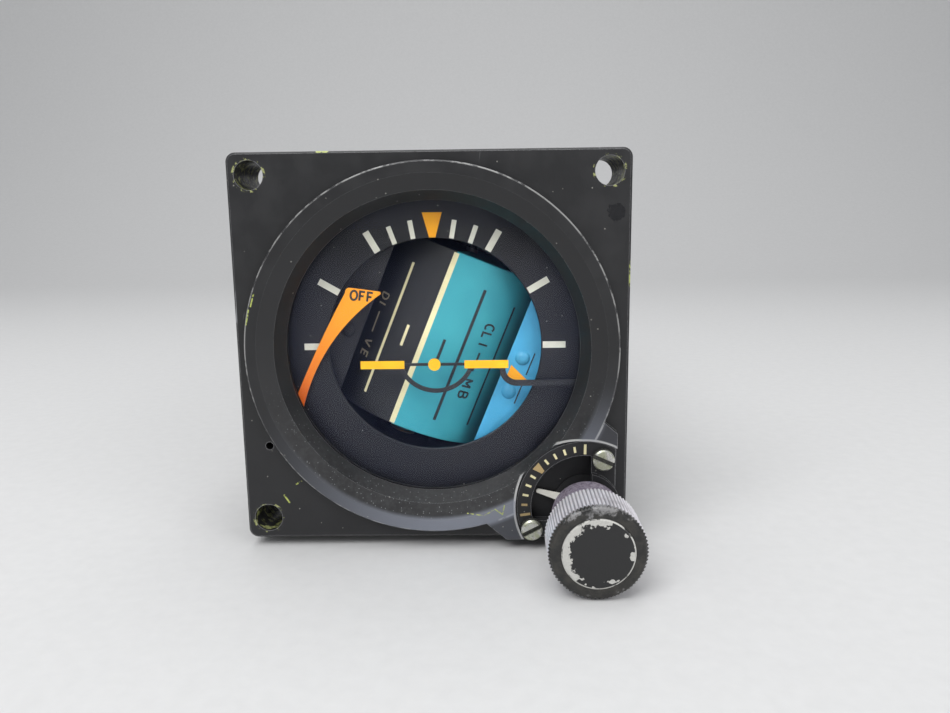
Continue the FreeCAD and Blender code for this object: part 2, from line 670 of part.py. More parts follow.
def make_trim_sleeve():
    """Sleeve that the knob turns: front tube, pointer disc and the pinion behind."""
    disc_y = CAVITY_Y - SIDE_GAP - POINTER_THICK
    front = DIAL_Y - DIAL_COLLAR_HEIGHT - 0.4
    tube = rod_y(SLEEVE_R, front, RACK_END_Y + SIDE_GAP)
    disc = rod_y(POINTER_DISC_R, disc_y, disc_y + POINTER_THICK)
    outline = gear_outline(PINION_TEETH, RACK_MODULE, 180.0)
    pinion = plate_y(outline, CHAMBER_Y + 0.2, RACK_END_Y + 0.2)
    bore = rod_y(KNOB_SHAFT_R + RUN_FIT, front - SINK, RACK_END_Y + 1)
    sleeve = fuse([tube, disc, pinion]).cut(bore)
    root = POINTER_DISC_R / 2
    shoulder = POINTER_TIP_R - 0.25
    blade = plate_y([(root, -1.0), (root, 1.0), (shoulder, 0.42), (POINTER_TIP_R, 0.0),
                     (shoulder, -0.42)], disc_y - POINTER_THICK, disc_y)
    blade.rotate(V(0, 0, 0), AXIS_Y, -POINTER_ANGLE)
    return {"trim_sleeve": at_knob(sleeve), "trim_pointer": at_knob(blade)}


def make_knob():
    """Turned knob with a smooth hub, a cap in its face and the shaft with its collars."""
    neck = KNOB_FACE_Y + KNOB_HEAD_LENGTH
    cap_y = KNOB_FACE_Y + CAP_THICK
    foot = KNOB_HUB_Y - KNOB_HUB_FOOT
    edge = KNOB_EDGE
    knob = turned([(KNOB_SHAFT_R, foot), (KNOB_HUB_FOOT_R, foot), (KNOB_HUB_FOOT_R, KNOB_HUB_Y),
                   (KNOB_HUB_R - edge, KNOB_HUB_Y), (KNOB_HUB_R, KNOB_HUB_Y - edge),
                   (KNOB_HUB_R, neck), (KNOB_HEAD_R - edge, neck), (KNOB_HEAD_R, neck - edge),
                   (KNOB_HEAD_R, KNOB_FACE_Y + KNOB_BEVEL),
                   (KNOB_HEAD_R - KNOB_BEVEL, KNOB_FACE_Y), (CAP_R, KNOB_FACE_Y),
                   (CAP_R, cap_y), (KNOB_SHAFT_R, cap_y)])
    rim = CAP_R - RUN_FIT
    cap = turned([(0, cap_y), (rim, cap_y), (rim, KNOB_FACE_Y - CAP_PROUD / 4),
                  (rim - edge, KNOB_FACE_Y - CAP_PROUD), (0, KNOB_FACE_Y - CAP_PROUD)])
    front = FORK_Y - COLLAR_PLAY
    rear = FORK_Y + FORK_THICK + COLLAR_PLAY
    shaft = fuse([rod_y(KNOB_SHAFT_R, cap_y, rear + COLLAR_THICK),
                  rod_y(COLLAR_R, front - COLLAR_THICK, front),
                  rod_y(COLLAR_R, rear, rear + COLLAR_THICK)])
    return {"knob": at_knob(knob), "knob_cap": at_knob(cap), "knob_shaft": at_knob(shaft)}


def make_gear_cover():
    """Cover plate over the gear pocket, flush with the flange's rear face, and its screws."""
    cover = gear_pocket()
    screws = []
    for x, z in cover_screw_places():
        hole_r = COVER_SCREW_R + RUN_FIT
        seat_r = COVER_SCREW_HEAD + 2 * RUN_FIT
        depth = seat_r - hole_r
        seat = turned([(0, FLANGE_DEPTH + SINK), (seat_r, FLANGE_DEPTH + SINK),
                       (seat_r, FLANGE_DEPTH), (hole_r, FLANGE_DEPTH - depth),
                       (hole_r, COVER_Y - SINK), (0, COVER_Y - SINK)])
        seat.translate(V(x, 0, z))
        cover = cover.cut(seat)
        head_y = FLANGE_DEPTH - 2 * RUN_FIT
        under = head_y - (COVER_SCREW_HEAD - COVER_SCREW_R)
        end = COVER_Y - COVER_SCREW_LENGTH
        screw = turned([(0, head_y), (COVER_SCREW_HEAD, head_y), (COVER_SCREW_R, under),
                        (COVER_SCREW_R, end), (0, end)])
        screw.translate(V(x, 0, z))
        screws.append(screw)
    return {"gear_cover": cover, "gear_cover_screws": Part.makeCompound(screws)}


# ================================================================ aeroplane symbol
def make_symbol():
    """Aeroplane symbol: bars and dot on a thin frame with its bow and side arm."""
    bars = []
    for side in (-1, 1):
        x0, x1 = sorted((side * BAR_IN, side * BAR_OUT))
        bars.append(block(x0, x1, SYMBOL_Y - BAR_PAINT, SYMBOL_Y,
                          SYMBOL_Z - BAR_HEIGHT / 2, SYMBOL_Z + BAR_HEIGHT / 2))
    bars.append(rod_y(DOT_R, SYMBOL_Y - BAR_PAINT, SYMBOL_Y, 0, SYMBOL_Z))
    rear = SYMBOL_Y + SHEET
    wire = block(-BAR_OUT, BAR_OUT, SYMBOL_Y, rear,
                 SYMBOL_Z - WIRE_HEIGHT / 2, SYMBOL_Z + WIRE_HEIGHT / 2)
    disc = rod_y(DOT_R, SYMBOL_Y, rear, 0, SYMBOL_Z)
    centre_z = SYMBOL_Z + BOW_Z
    bow = tube_y(BOW_R + BOW_WIDTH / 2, BOW_R - BOW_WIDTH / 2, SYMBOL_Y, rear, BOW_X, centre_z)
    below = block(-BOW_R * 2, BOW_R * 2, SYMBOL_Y, rear, centre_z - BOW_R * 2, SYMBOL_Z)
    bow = bow.common(below)
    arm = make_arm(SYMBOL_Y, rear)
    frame = fuse([wire, disc, bow, arm])
    return {"symbol_bars": Part.makeCompound(bars), "symbol_frame": frame}


def make_arm(y0, y1):
    """The symbol's side arm: down from the right bar, round a bend and out to the carrier."""
    outer = ARM_BEND_R + ARM_WIDTH / 2
    inner = ARM_BEND_R - ARM_WIDTH / 2
    bend_x = ARM_X + ARM_BEND_R
    bend_z = SYMBOL_Z - ARM_DROP + ARM_BEND_R
    drop = block(ARM_X - ARM_WIDTH / 2, ARM_X + ARM_WIDTH / 2, y0, y1, bend_z, SYMBOL_Z)
    bend = tube_y(outer, inner, y0, y1, bend_x, bend_z)
    quarter = block(bend_x - outer - 1, bend_x, y0, y1, bend_z - outer - 1, bend_z)
    low = SYMBOL_Z - ARM_DROP
    run = block(bend_x, CARRIER_IN - 0.2, y0, y1, low - ARM_WIDTH / 2, low + ARM_WIDTH / 2)
    return fuse([drop, bend.common(quarter), run])


def make_rack():
    """Curved carrier round the window with the rack that the pinion drives."""
    foot_deg = math.degrees(math.atan2(RACK_TOP, RACK_BACK_X))
    band = sector_band(CARRIER_OUT, CARRIER_IN, RACK_Y, RACK_END_Y, foot_deg, CARRIER_TOP_DEG)
    arm_z = SYMBOL_Z - ARM_DROP
    head = block(CARRIER_IN - 1.6, CARRIER_IN + 0.6, RACK_Y, RACK_END_Y,
                 arm_z - ARM_PAD, arm_z + ARM_PAD)
    bar = block(RACK_BACK_X, RACK_ROOT_X, RACK_Y, RACK_END_Y, RACK_BOTTOM, RACK_TOP)
    parts = [band, head, bar]
    pitch = math.pi * RACK_MODULE
    below = int((RACK_UP + pitch) / pitch)
    above = int((RACK_DOWN + 2 * pitch) / pitch)
    for number in range(-below, above + 1):
        middle = KNOB_Z + (number + 0.5) * pitch
        root = 0.34 * pitch
        side = 0.225 * pitch
        tip = 0.13 * pitch
        if middle - root < RACK_BOTTOM:
            continue
        tooth = [(RACK_ROOT_X - 0.2, middle - root), (RACK_ROOT_X, middle - root),
                 (RACK_PITCH_X, middle - side), (RACK_TIP_X, middle - tip),
                 (RACK_TIP_X, middle + tip), (RACK_PITCH_X, middle + side),
                 (RACK_ROOT_X, middle + root), (RACK_ROOT_X - 0.2, middle + root)]
        parts.append(plate_y(tooth, RACK_Y, RACK_END_Y))
    return fuse(parts)


# ================================================================ off flag
def flag_edge(offsets):
    """An arc or a line of the flag blade's outline, from offsets about its pivot."""
    points = [V(FLAG_X + x, FLAG_Y, FLAG_Z + z) for x, z in offsets]
    if len(points) == 3:
        return Part.Arc(*points).toShape()
    return Part.makeLine(*points)


def make_flag():
    """Flag blade on its spindle, with the small torque coil that swings it."""
    inner_foot = (FLAG_INNER[-1], (1.0, 0.0))
    foot = ((1.0, 0.0), (-1.2, 0.0))
    outer_foot = ((-1.2, 0.0), FLAG_OUTER[0])
    top = (FLAG_CORNER[-1], FLAG_TIP[0])
    edges = (FLAG_OUTER, FLAG_CORNER, top, FLAG_TIP, FLAG_INNER, inner_foot, foot, outer_foot)
    blade = Part.Face(Part.Wire([flag_edge(e) for e in edges]))
    blade = blade.extrude(V(0, FLAG_THICK, 0))
    rear = FLAG_Y + FLAG_THICK
    hub = rod_y(FLAG_HUB_R, FLAG_Y, rear + SIDE_GAP, FLAG_X, FLAG_Z)
    pin_hole = rod_y(FLAG_PIN_R, FLAG_Y - SINK, rear + SINK, FLAG_X, FLAG_Z)
    coil_y = SCALE_Y + SCALE_THICK
    coil_end = coil_y + COIL_LENGTH
    spindle = rod_y(FLAG_PIN_R, CHAMBER_Y + SIDE_GAP, coil_end + 1.2, FLAG_X, FLAG_Z)
    coil = tube_y(COIL_R, FLAG_PIN_R + RUN_FIT, coil_y, coil_end, FLAG_X, FLAG_Z)
    return {"off_flag": fuse([blade, hub]).cut(pin_hole), "flag_spindle": spindle,
            "flag_coil": coil}


# ================================================================ case
def cage_slot_in_case():
    """The slot in the case wall that the cage fork moves in."""
    return cage_slot_shape(CASE_Y - SINK, FORK_Y + FORK_THICK + 0.6, CAGE_SLOT, 30, 45)


def radial_places(count, first_deg):
    """Angles of a ring of radial screws."""
    return [first_deg + 360.0 * n / count for n in range(count)]


def radial_screw(angle, y, head_r, head, shank_r, reach):
    """A countersunk screw driven inwards through the case wall, flush with it."""
    profile = [(0, 0), (head_r, 0), (shank_r, head), (shank_r, reach), (0, reach)]
    screw = turned(profile, AXIS_X)
    screw.rotate(V(0, 0, 0), AXIS_Z, 180)
    screw.translate(V(CASE_R - CASE_SCREW_BELOW, y, 0))
    screw.rotate(V(0, 0, 0), AXIS_Y, -angle)
    return screw


def case_screw_sets():
    """The rings of screws along the case: where each stands and how far it reaches."""
    support = [(a, SUPPORT_Y + SUPPORT_LENGTH / 2) for a in radial_places(3, 35)]
    bulkhead = [(a, BULKHEAD_Y + BULKHEAD_THICK / 2) for a in radial_places(4, 45)]
    rear = [(a, CASE_END - COVER_SPIGOT / 2) for a in radial_places(4, 45)]
    guide_angle = math.degrees(math.atan2(KNOB_Z, KNOB_X))
    aside = math.degrees(GUIDE_SCREW_AT / CASE_R)
    guide = [(guide_angle + turn, GUIDE_Y + GUIDE_LENGTH / 2) for turn in (-aside, aside)]
    return {"support_ring": support, "bulkhead": bulkhead, "rod_guide": guide,
            "rear_cover": rear}


def screw_shapes(places, grow=0.0):
    """The screws of one set, or their holes when grown."""
    head = CASE_SCREW_HEAD + grow
    sink = CASE_SCREW_SINK + grow
    shank = CASE_SCREW_R + grow
    reach = CASE_SCREW_LENGTH + 2 * grow
    return [radial_screw(a, y, head, sink, shank, reach) for a, y in places]


def make_case():
    """Drawn case tube with its screw holes and the slot for the cage fork."""
    case = tube_y(CASE_R, CASE_BORE, CASE_Y, CASE_END)
    end = [e for e in case.Edges if e.BoundBox.YMin > CASE_END - 0.01]
    case = case.makeChamfer(0.2, end)
    holes = []
    for places in case_screw_sets().values():
        holes += screw_shapes(places, RUN_FIT)
    return case.cut(cage_slot_in_case()).cut(Part.makeCompound(holes))


def make_case_screws():
    """All the radial screws, which are alike, in one node."""
    screws = []
    for places in case_screw_sets().values():
        screws += screw_shapes(places)
    return {"case_screws": Part.makeCompound(screws)}


def make_support_ring():
    """Ring fixed in the case that the roll frame's front ring runs in."""
    ring = tube_y(CASE_BORE - SEAT_FIT, ROLL_R + RUN_FIT, SUPPORT_Y, SUPPORT_Y + SUPPORT_LENGTH)
    x, z = cage_rod_place()
    ring = ring.cut(rod_y(CAGE_ROD_R + RUN_FIT, SUPPORT_Y - 1, SUPPORT_Y + 9, x, z))
    holes = screw_shapes(case_screw_sets()["support_ring"], RUN_FIT)
    return ring.cut(Part.makeCompound(holes))


def make_bulkhead():
    """Webbed bulkhead behind the gyro, with the seat of the rear roll bearing."""
    y0 = BULKHEAD_Y
    y1 = BULKHEAD_Y + BULKHEAD_THICK
    disc = tube_y(CASE_BORE - SEAT_FIT, BEARING_R + RUN_FIT, y0, y1)
    hub = tube_y(BEARING_R + 3, BEARING_R + RUN_FIT, y1 - SINK, y1 + 1.0)
    plate = fuse([disc, hub])
    for angle in (0, 90, 180, 270):
        x, z = polar(21.5, angle)
        plate = plate.cut(rod_y(8.0, y0 - 1, y1 + 2, x, z))
    for angle in radial_places(3, 30):
        x, z = polar(PILLAR_AT, angle)
        plate = plate.cut(rod_y(PILLAR_STUD_R + RUN_FIT, y1 - PILLAR_STUD - SIDE_GAP,
                                y1 + SINK, x, z))
    holes = screw_shapes(case_screw_sets()["bulkhead"], RUN_FIT)
    return plate.cut(Part.makeCompound(holes))


def make_roll_bearing():
    """Sleeve bearing behind the roll frame: outer ring in the case, inner one on the shaft."""
    y0 = BULKHEAD_Y
    y1 = BULKHEAD_Y + BEARING_LENGTH
    inner_r = ROLL_SHAFT_R + BEARING_RACE
    return {"rear_bearing_outer": tube_y(BEARING_R, inner_r + RUN_FIT, y0, y1),
            "rear_bearing_inner": tube_y(inner_r, ROLL_SHAFT_R, y0, y1)}


def make_rear_cover():
    """Rear cover with its spigot in the case, the sealing ring and the fill plug."""
    y0 = CASE_END
    y1 = CASE_END + COVER_THICK
    spigot = CASE_BORE - SEAT_FIT
    inner = spigot - SPIGOT_WALL
    front = y0 - COVER_RECESS
    cover = turned([(0, y1), (CASE_R - COVER_EDGE, y1), (CASE_R, y1 - COVER_EDGE),
                    (CASE_R, y0 + COVER_SEAL), (spigot, y0 + COVER_SEAL),
                    (spigot, y0 - COVER_SPIGOT), (inner, y0 - COVER_SPIGOT), (inner, front),
                    (0, front)])
    cover = cover.cut(rod_y(CONNECTOR_R - CONNECTOR_WALL + RUN_FIT, y0 - 2, y1 + 1))
    holes = screw_shapes(case_screw_sets()["rear_cover"], RUN_FIT)
    cover = cover.cut(Part.makeCompound(holes))
    plug_x, plug_z = polar(PLUG_AT, PLUG_DEG)
    cover = cover.cut(rod_y(PLUG_R + RUN_FIT, y0 - 2, y1 + 1, plug_x, plug_z))
    for x, z in connector_screw_places():
        depth = CONNECTOR_SCREW_LENGTH - CONNECTOR_FLANGE_THICK + COVER_SEAL
        cover = cover.cut(rod_y(CONNECTOR_SCREW_R + RUN_FIT, y1 - depth, y1 + 1, x, z))
    seal = tube_y(CASE_R - 2 * RUN_FIT, CASE_BORE, y0, y0 + COVER_SEAL)
    top = y1 + PLUG_HEAD
    plug = turned([(0, front), (PLUG_R, front), (PLUG_R, y1), (PLUG_HEAD_R, y1),
                   (PLUG_HEAD_R, top - EDGE_BREAK), (PLUG_HEAD_R - EDGE_BREAK, top), (0, top)])
    slot = block(-PLUG_HEAD_R - 1, PLUG_HEAD_R + 1, y1 + PLUG_HEAD / 2, top + SINK, -0.45, 0.45)
    plug = plug.cut(slot)
    plug.translate(V(plug_x, 0, plug_z))
    return {"rear_cover": cover, "rear_seal": seal, "fill_plug": plug}


# ================================================================ connector
def connector_screw_places():
    """Where the four screws of the connector flange stand."""
    at = CONNECTOR_SCREW_AT
    return [(sx * at, sz * at) for sx in (-1, 1) for sz in (-1, 1)]


def make_connector():
    """Round connector on the rear cover: flanged shell, insert, pins and screws."""
    y0 = CASE_END + COVER_THICK
    y1 = y0 + CONNECTOR_LENGTH
    half = CONNECTOR_FLANGE / 2
    bore = CONNECTOR_R - CONNECTOR_WALL
    flange = block(-half, half, y0, y0 + CONNECTOR_FLANGE_THICK, -half, half)
    corners = [e for e in flange.Edges if abs(e.tangentAt(0).y) > 0.9]
    flange = flange.makeFillet(CONNECTOR_CORNER, corners)
    barrel = turned([(0, y0), (CONNECTOR_R, y0), (CONNECTOR_R, y1 - 0.4),
                     (CONNECTOR_R - 0.4, y1), (0, y1)])
    shell = fuse([flange, barrel]).cut(rod_y(bore, y0 - 1, y1 + 1))
    for angle in radial_places(3, 90):
        key = rod_x(KEY_R, CONNECTOR_R - SIDE_GAP, CONNECTOR_R + KEY_R, y1 - KEY_SETBACK)
        shell = shell.fuse(key.rotated(V(0, 0, 0), AXIS_Y, -angle))
    screws = []
    for x, z in connector_screw_places():
        shell = shell.cut(rod_y(CONNECTOR_SCREW_R + 3 * RUN_FIT, y0 - SINK,
                                y0 + CONNECTOR_FLANGE_THICK + SINK, x, z))
        head = slotted_screw(CONNECTOR_SCREW_HEAD, CONNECTOR_SCREW_HEIGHT, CONNECTOR_SCREW_R,
                             CONNECTOR_SCREW_LENGTH, x, z, -(y0 + CONNECTOR_FLANGE_THICK), 30)
        head.rotate(V(x, 0, z), AXIS_Z, 180)
        screws.append(head)
    face = y0 + INSERT_FRONT
    inner = CASE_END - INSERT_REAR
    insert = rod_y(bore - RUN_FIT, inner, face)
    pins = [polar(PIN_CIRCLE_R, a) for a in radial_places(PIN_COUNT, 0)]
    pins += [polar(INNER_CIRCLE_R, a) for a in radial_places(INNER_PIN_COUNT, 90)]
    contacts = []
    for x, z in pins:
        insert = insert.cut(rod_y(PIN_R, inner - SINK, face + SINK, x, z))
        contacts.append(rod_y(PIN_R, inner - PIN_TAIL, face + PIN_LENGTH, x, z))
    return {"connector_shell": shell.removeSplitter(), "connector_insert": insert,
            "connector_pins": Part.makeCompound(contacts),
            "connector_screws": Part.makeCompound(screws)}


# ================================================================ electrical pieces
def make_electrics():
    """Inverter board on pillars, its toroid and capacitors, and the brush block."""
    y0 = BOARD_Y
    y1 = BOARD_Y + BOARD_THICK
    foot = BULKHEAD_Y + BULKHEAD_THICK
    board = tube_y(BOARD_R, ROLL_SHAFT_R + 4, y0, y1)
    pillars = []
    for angle in radial_places(3, 30):
        x, z = polar(PILLAR_AT, angle)
        board = board.cut(rod_y(PILLAR_STUD_R + RUN_FIT, y0 - 1, y1 + 1, x, z))
        pillar = turned([(0, foot - PILLAR_STUD), (PILLAR_STUD_R, foot - PILLAR_STUD),
                         (PILLAR_STUD_R, foot), (PILLAR_R, foot), (PILLAR_R, y0), (PILLAR_STUD_R, y0),
                         (PILLAR_STUD_R, y1), (PILLAR_NUT_R, y1), (PILLAR_NUT_R, y1 + PILLAR_NUT),
                         (0, y1 + PILLAR_NUT)])
        pillar.translate(V(x, 0, z))
        pillars.append(pillar)
    edge = TOROID_EDGE
    far = y1 + TOROID_HEIGHT
    toroid = turned([(TOROID_BORE, y1 + edge), (TOROID_BORE + edge, y1), (TOROID_R - edge, y1),
                     (TOROID_R, y1 + edge), (TOROID_R, far - edge), (TOROID_R - edge, far),
                     (TOROID_BORE + edge, far), (TOROID_BORE, far - edge)],
                    AXIS_Y, V(0, 0, TOROID_Z))
    capacitors = []
    top = y1 + CAPACITOR_HEIGHT
    for number in range(CAPACITOR_COUNT):
        x = (number - (CAPACITOR_COUNT - 1) / 2) * CAPACITOR_PITCH
        capacitors.append(turned([(0, y1), (CAPACITOR_R, y1), (CAPACITOR_R, top - 0.5),
                                  (CAPACITOR_R - 0.5, top), (0, top)],
                                 AXIS_Y, V(x, 0, CAPACITOR_Z)))
    return {"inverter_board": board, "board_pillars": Part.makeCompound(pillars),
            "inverter_toroid": toroid, "inverter_capacitors": Part.makeCompound(capacitors)}


def make_brush_block():
    """Block behind the bulkhead with one brush finger for each slip ring."""
    y0 = BULKHEAD_Y + BULKHEAD_THICK
    inner = SLIP_RING_R + BRUSH_SPACE
    post = block(inner, inner + BRUSH_POST, y0, ROLL_SHAFT_END - BRUSH_TAIL,
                 -SLIP_RING_R - BRUSH_DEPTH, -SLIP_RING_R - BRUSH_RISE)
    half = BRUSH_WIDTH / 2
    top = -SLIP_RING_R - SIDE_GAP
    fingers = []
    for number in range(SLIP_RING_COUNT):
        middle = SLIP_Y + (number + 0.5) * SLIP_RING_PITCH
        fingers.append(block(-BRUSH_REACH, inner, middle - half, middle + half,
                             top - BRUSH_THICK, top))
    return {"brush_block": fuse([post] + fingers)}


# ================================================================ roll frame
def make_roll_frame():
    """Front running ring, two side arms and the rear yoke, machined as one frame."""
    ring = tube_y(ROLL_R, ROLL_BORE, ROLL_RING_Y, ROLL_RING_END)
    pieces = [ring]
    for side in (-1, 1):
        x0, x1 = sorted((side * ARM_IN, side * ARM_OUT))
        arm = block(x0, x1, ROLL_RING_END - 6.0, YOKE_Y + YOKE_THICK, -ARM_HALF, ARM_HALF)
        pieces.append(arm)
        lug_z0, lug_z1 = sorted((side * LUG_IN, side * (ROLL_BORE + 0.4)))
        lug = block(-LUG_HALF, LUG_HALF, ROLL_RING_Y, ROLL_RING_Y + LUG_DEPTH, lug_z0, lug_z1)
        pieces.append(lug.common(rod_y(ROLL_BORE + 0.5, ROLL_RING_Y - 1, ROLL_RING_END)))
    half = ARM_OUT
    yoke = block(-half, half, YOKE_Y, YOKE_Y + YOKE_THICK, -YOKE_HALF, YOKE_HALF)
    yoke = yoke.common(rod_y(ROLL_R, YOKE_Y - 1, YOKE_Y + 9))
    pieces += [yoke, rod_y(YOKE_HUB_R, YOKE_Y, YOKE_Y + YOKE_THICK + 1.0)]
    frame = fuse(pieces)
    cuts = [rod_y(ROLL_SHAFT_R, YOKE_Y - 1, YOKE_Y + 9)]
    bush_hole = TRUNNION_R + BUSH_WALL + RUN_FIT
    for y in (DRUM_Y, GYRO_Y):
        cuts.append(rod_x(bush_hole, -half - 1, half + 1, y))
    for y in (IDLER_B_Y, IDLER_A_Y):
        cuts.append(rod_x(IDLER_PIN_R, -half - 1, 0, y))
    for y0, y1 in ((IDLER_B_Y + 6, IDLER_A_Y - 6), (GYRO_Y + 8, YOKE_Y - 6)):
        cuts.append(block(-half - 1, half + 1, y0, y1, -3.0, 3.0))
    for side in (-1, 1):
        for x in (-PLATE_SCREW_X, PLATE_SCREW_X):
            cuts.append(rod_y(PLATE_SHANK_R + RUN_FIT, ROLL_RING_Y - 1, ROLL_RING_Y + 9,
                              x, side * PLATE_SCREW_Z))
    return frame.cut(Part.makeCompound(cuts))


def make_plates():
    """Sky plate and ground plate on the roll frame's front, with their dome screws."""
    y0 = PLATE_Y
    y1 = PLATE_Y + PLATE_THICK
    disc = rod_y(PLATE_R, y0, y1)
    plates = {}
    screws = []
    for name, side in (("sky_plate", 1), ("ground_plate", -1)):
        z0, z1 = sorted((side * PLATE_EDGE, side * (PLATE_R + 1)))
        plate = disc.common(block(-PLATE_R - 1, PLATE_R + 1, y0, y1, z0, z1))
        for x in (-PLATE_SCREW_X, PLATE_SCREW_X):
            z = side * PLATE_SCREW_Z
            plate = plate.cut(rod_y(PLATE_SHANK_R + RUN_FIT, y0 - 1, y1 + 1, x, z))
            dome = turned([(0, y0 - 0.85), (0.7, y0 - 0.75), (1.3, y0 - 0.45),
                           (PLATE_SCREW_R, y0), (PLATE_SHANK_R, y0),
                           (PLATE_SHANK_R, y1 + 2.2), (0, y1 + 2.2)])
            dome.translate(V(x, 0, z))
            screws.append(dome)
        plates[name] = plate
    plates["plate_screws"] = Part.makeCompound(screws)
    return plates


def make_roll_shaft():
    """Rear roll shaft with its stack of slip rings."""
    shaft = rod_y(ROLL_SHAFT_R, YOKE_Y, ROLL_SHAFT_END)
    profile = [(ROLL_SHAFT_R, SLIP_Y - 1.0), (SLIP_RING_R, SLIP_Y - 1.0)]
    groove = 0.35
    for number in range(SLIP_RING_COUNT):
        y0 = SLIP_Y + number * SLIP_RING_PITCH
        y1 = y0 + SLIP_RING_PITCH
        floor = SLIP_RING_R - SLIP_GROOVE
        profile += [(SLIP_RING_R, y0 + groove), (floor, y0 + 2 * groove),
                    (floor, y1 - 2 * groove), (SLIP_RING_R, y1 - groove)]
    profile += [(SLIP_RING_R, SLIP_END), (ROLL_SHAFT_R, SLIP_END)]
    return {"roll_shaft": shaft, "slip_rings": turned(profile)}


def make_pivots():
    """Bushes in the arms for the drum and the gyro, and the idlers' pins."""
    bushes = []
    for y, bore in ((DRUM_Y, DRUM_AXLE_R), (GYRO_Y, TRUNNION_R)):
        for x0, x1 in ((-ARM_OUT, -ARM_IN), (ARM_IN, ARM_OUT)):
            bushes.append(tube_x(TRUNNION_R + BUSH_WALL, bore + RUN_FIT, x0, x1, y))
    pins = []
    inner = GEAR_X + GEAR_THICK + 0.1
    for y in (IDLER_B_Y, IDLER_A_Y):
        pin = rod_x(IDLER_PIN_R, -ARM_OUT, inner, y)
        head = rod_x(IDLER_PIN_R + 0.9, inner, inner + 0.7, y)
        collar = rod_x(IDLER_PIN_R + 1.0, -ARM_IN, GEAR_X - 0.1, y)
        pins.append(fuse([pin, head, collar]))
    return {"pivot_bushes": Part.makeCompound(bushes),
            "idler_pins": Part.makeCompound(pins)}


# ================================================================ horizon drum
def make_drum():
    """Horizon drum: thin shell with end discs on an axle, and its gear."""
    r = DRUM_R
    half = DRUM_HALF
    wall = DRUM_WALL
    hub = DRUM_AXLE_R + DRUM_HUB
    hub_end = half - DRUM_HUB_LENGTH
    shell = turned([(DRUM_AXLE_R, -half), (r - 0.2, -half), (r, -half + 0.2),
                    (r, half - 0.2), (r - 0.2, half), (DRUM_AXLE_R, half),
                    (DRUM_AXLE_R, hub_end), (hub, hub_end), (hub, half - wall),
                    (r - wall, half - wall), (r - wall, -half + wall), (hub, -half + wall),
                    (hub, -hub_end), (DRUM_AXLE_R, -hub_end)], AXIS_X, V(0, DRUM_Y, 0))
    axle = rod_x(DRUM_AXLE_R, -ARM_OUT, ARM_OUT, DRUM_Y)
    half_tooth = 180.0 / DRUM_GEAR_TEETH
    gear = gear_x(DRUM_GEAR_TEETH, GEAR_MODULE, DRUM_Y, DRUM_AXLE_R, half_tooth)
    return {"horizon_drum": shell, "drum_axle": axle, "drum_gear": gear}


def make_idlers():
    """The two idler gears between the gyro and the drum."""
    half_tooth = 180.0 / IDLER_TEETH
    bore = IDLER_PIN_R + RUN_FIT
    return {
        "idler_gear_a": gear_x(IDLER_TEETH, GEAR_MODULE, IDLER_A_Y, bore, half_tooth),
        "idler_gear_b": gear_x(IDLER_TEETH, GEAR_MODULE, IDLER_B_Y, bore, 0.0),
    }


# ================================================================ gyro
def make_gyro_housing():
    """Housing ring with its trunnions, two end bells and the pitch gear."""
    at = V(0, GYRO_Y, 0)
    r = HOUSING_R
    inner = r - HOUSING_WALL
    h = HOUSING_HALF
    ring = turned([(inner, -h), (r, -h), (r, -h + 2), (r - 0.4, -h + 2.6), (r - 0.4, h - 2.6),
                   (r, h - 2), (r, h), (inner, h)], AXIS_Z, at)
    start = inner - 0.1
    trunnions = [rod_x(TRUNNION_R, start, ARM_OUT, GYRO_Y),
                 rod_x(TRUNNION_R, -ARM_OUT, -start, GYRO_Y)]
    pads = [rod_x(TRUNNION_R + 2.4, start, r + 1.0, GYRO_Y),
            rod_x(TRUNNION_R + 2.4, -r - 1.0, -start, GYRO_Y)]
    for shape in pads + trunnions:
        shape.rotate(V(0, GYRO_Y, 0), AXIS_X, PITCH_REST)
    housing = fuse([ring] + pads + trunnions).cut(
        turned([(0, -h - 1), (inner, -h - 1), (inner, h + 1), (0, h + 1)], AXIS_Z, at))
    top = BELL_TOP
    bell = [(SPIN_BUSH_R, h + 1.5), (SPIN_BUSH_R, top - 1.6), (0, top - 1.6),
            (0, top), (SPIN_BUSH_R + 2.4, top), (SPIN_BUSH_R + 3.4, top - 1.0),
            (SPIN_BUSH_R + 3.4, h + 3.4), (r - 4.5, h + 2.4), (r, h + 0.8), (r, h),
            (inner - 1.2, h), (SPIN_BUSH_R + 2.0, h + 1.5)]
    bells = [turned(bell, AXIS_Z, at), turned([(a, -b) for a, b in bell], AXIS_Z, at)]
    bearings = []
    for side in (-1, 1):
        z0, z1 = sorted((side * (h + 1.5), side * (top - 1.7)))
        tube = Part.makeCylinder(SPIN_BUSH_R - RUN_FIT, z1 - z0, V(0, GYRO_Y, z0), AXIS_Z)
        hole = Part.makeCylinder(SPIN_SHAFT_R + RUN_FIT, z1 - z0 + 2, V(0, GYRO_Y, z0 - 1), AXIS_Z)
        bearings.append(tube.cut(hole))
    gear = gear_x(PITCH_GEAR_TEETH, GEAR_MODULE, GYRO_Y, TRUNNION_R, 0.0)
    return {"gyro_housing": tilted(housing), "gyro_end_bells": Part.makeCompound(
                [tilted(b) for b in bells]),
            "spin_bearings": Part.makeCompound([tilted(b) for b in bearings]),
            "pitch_gear": gear}


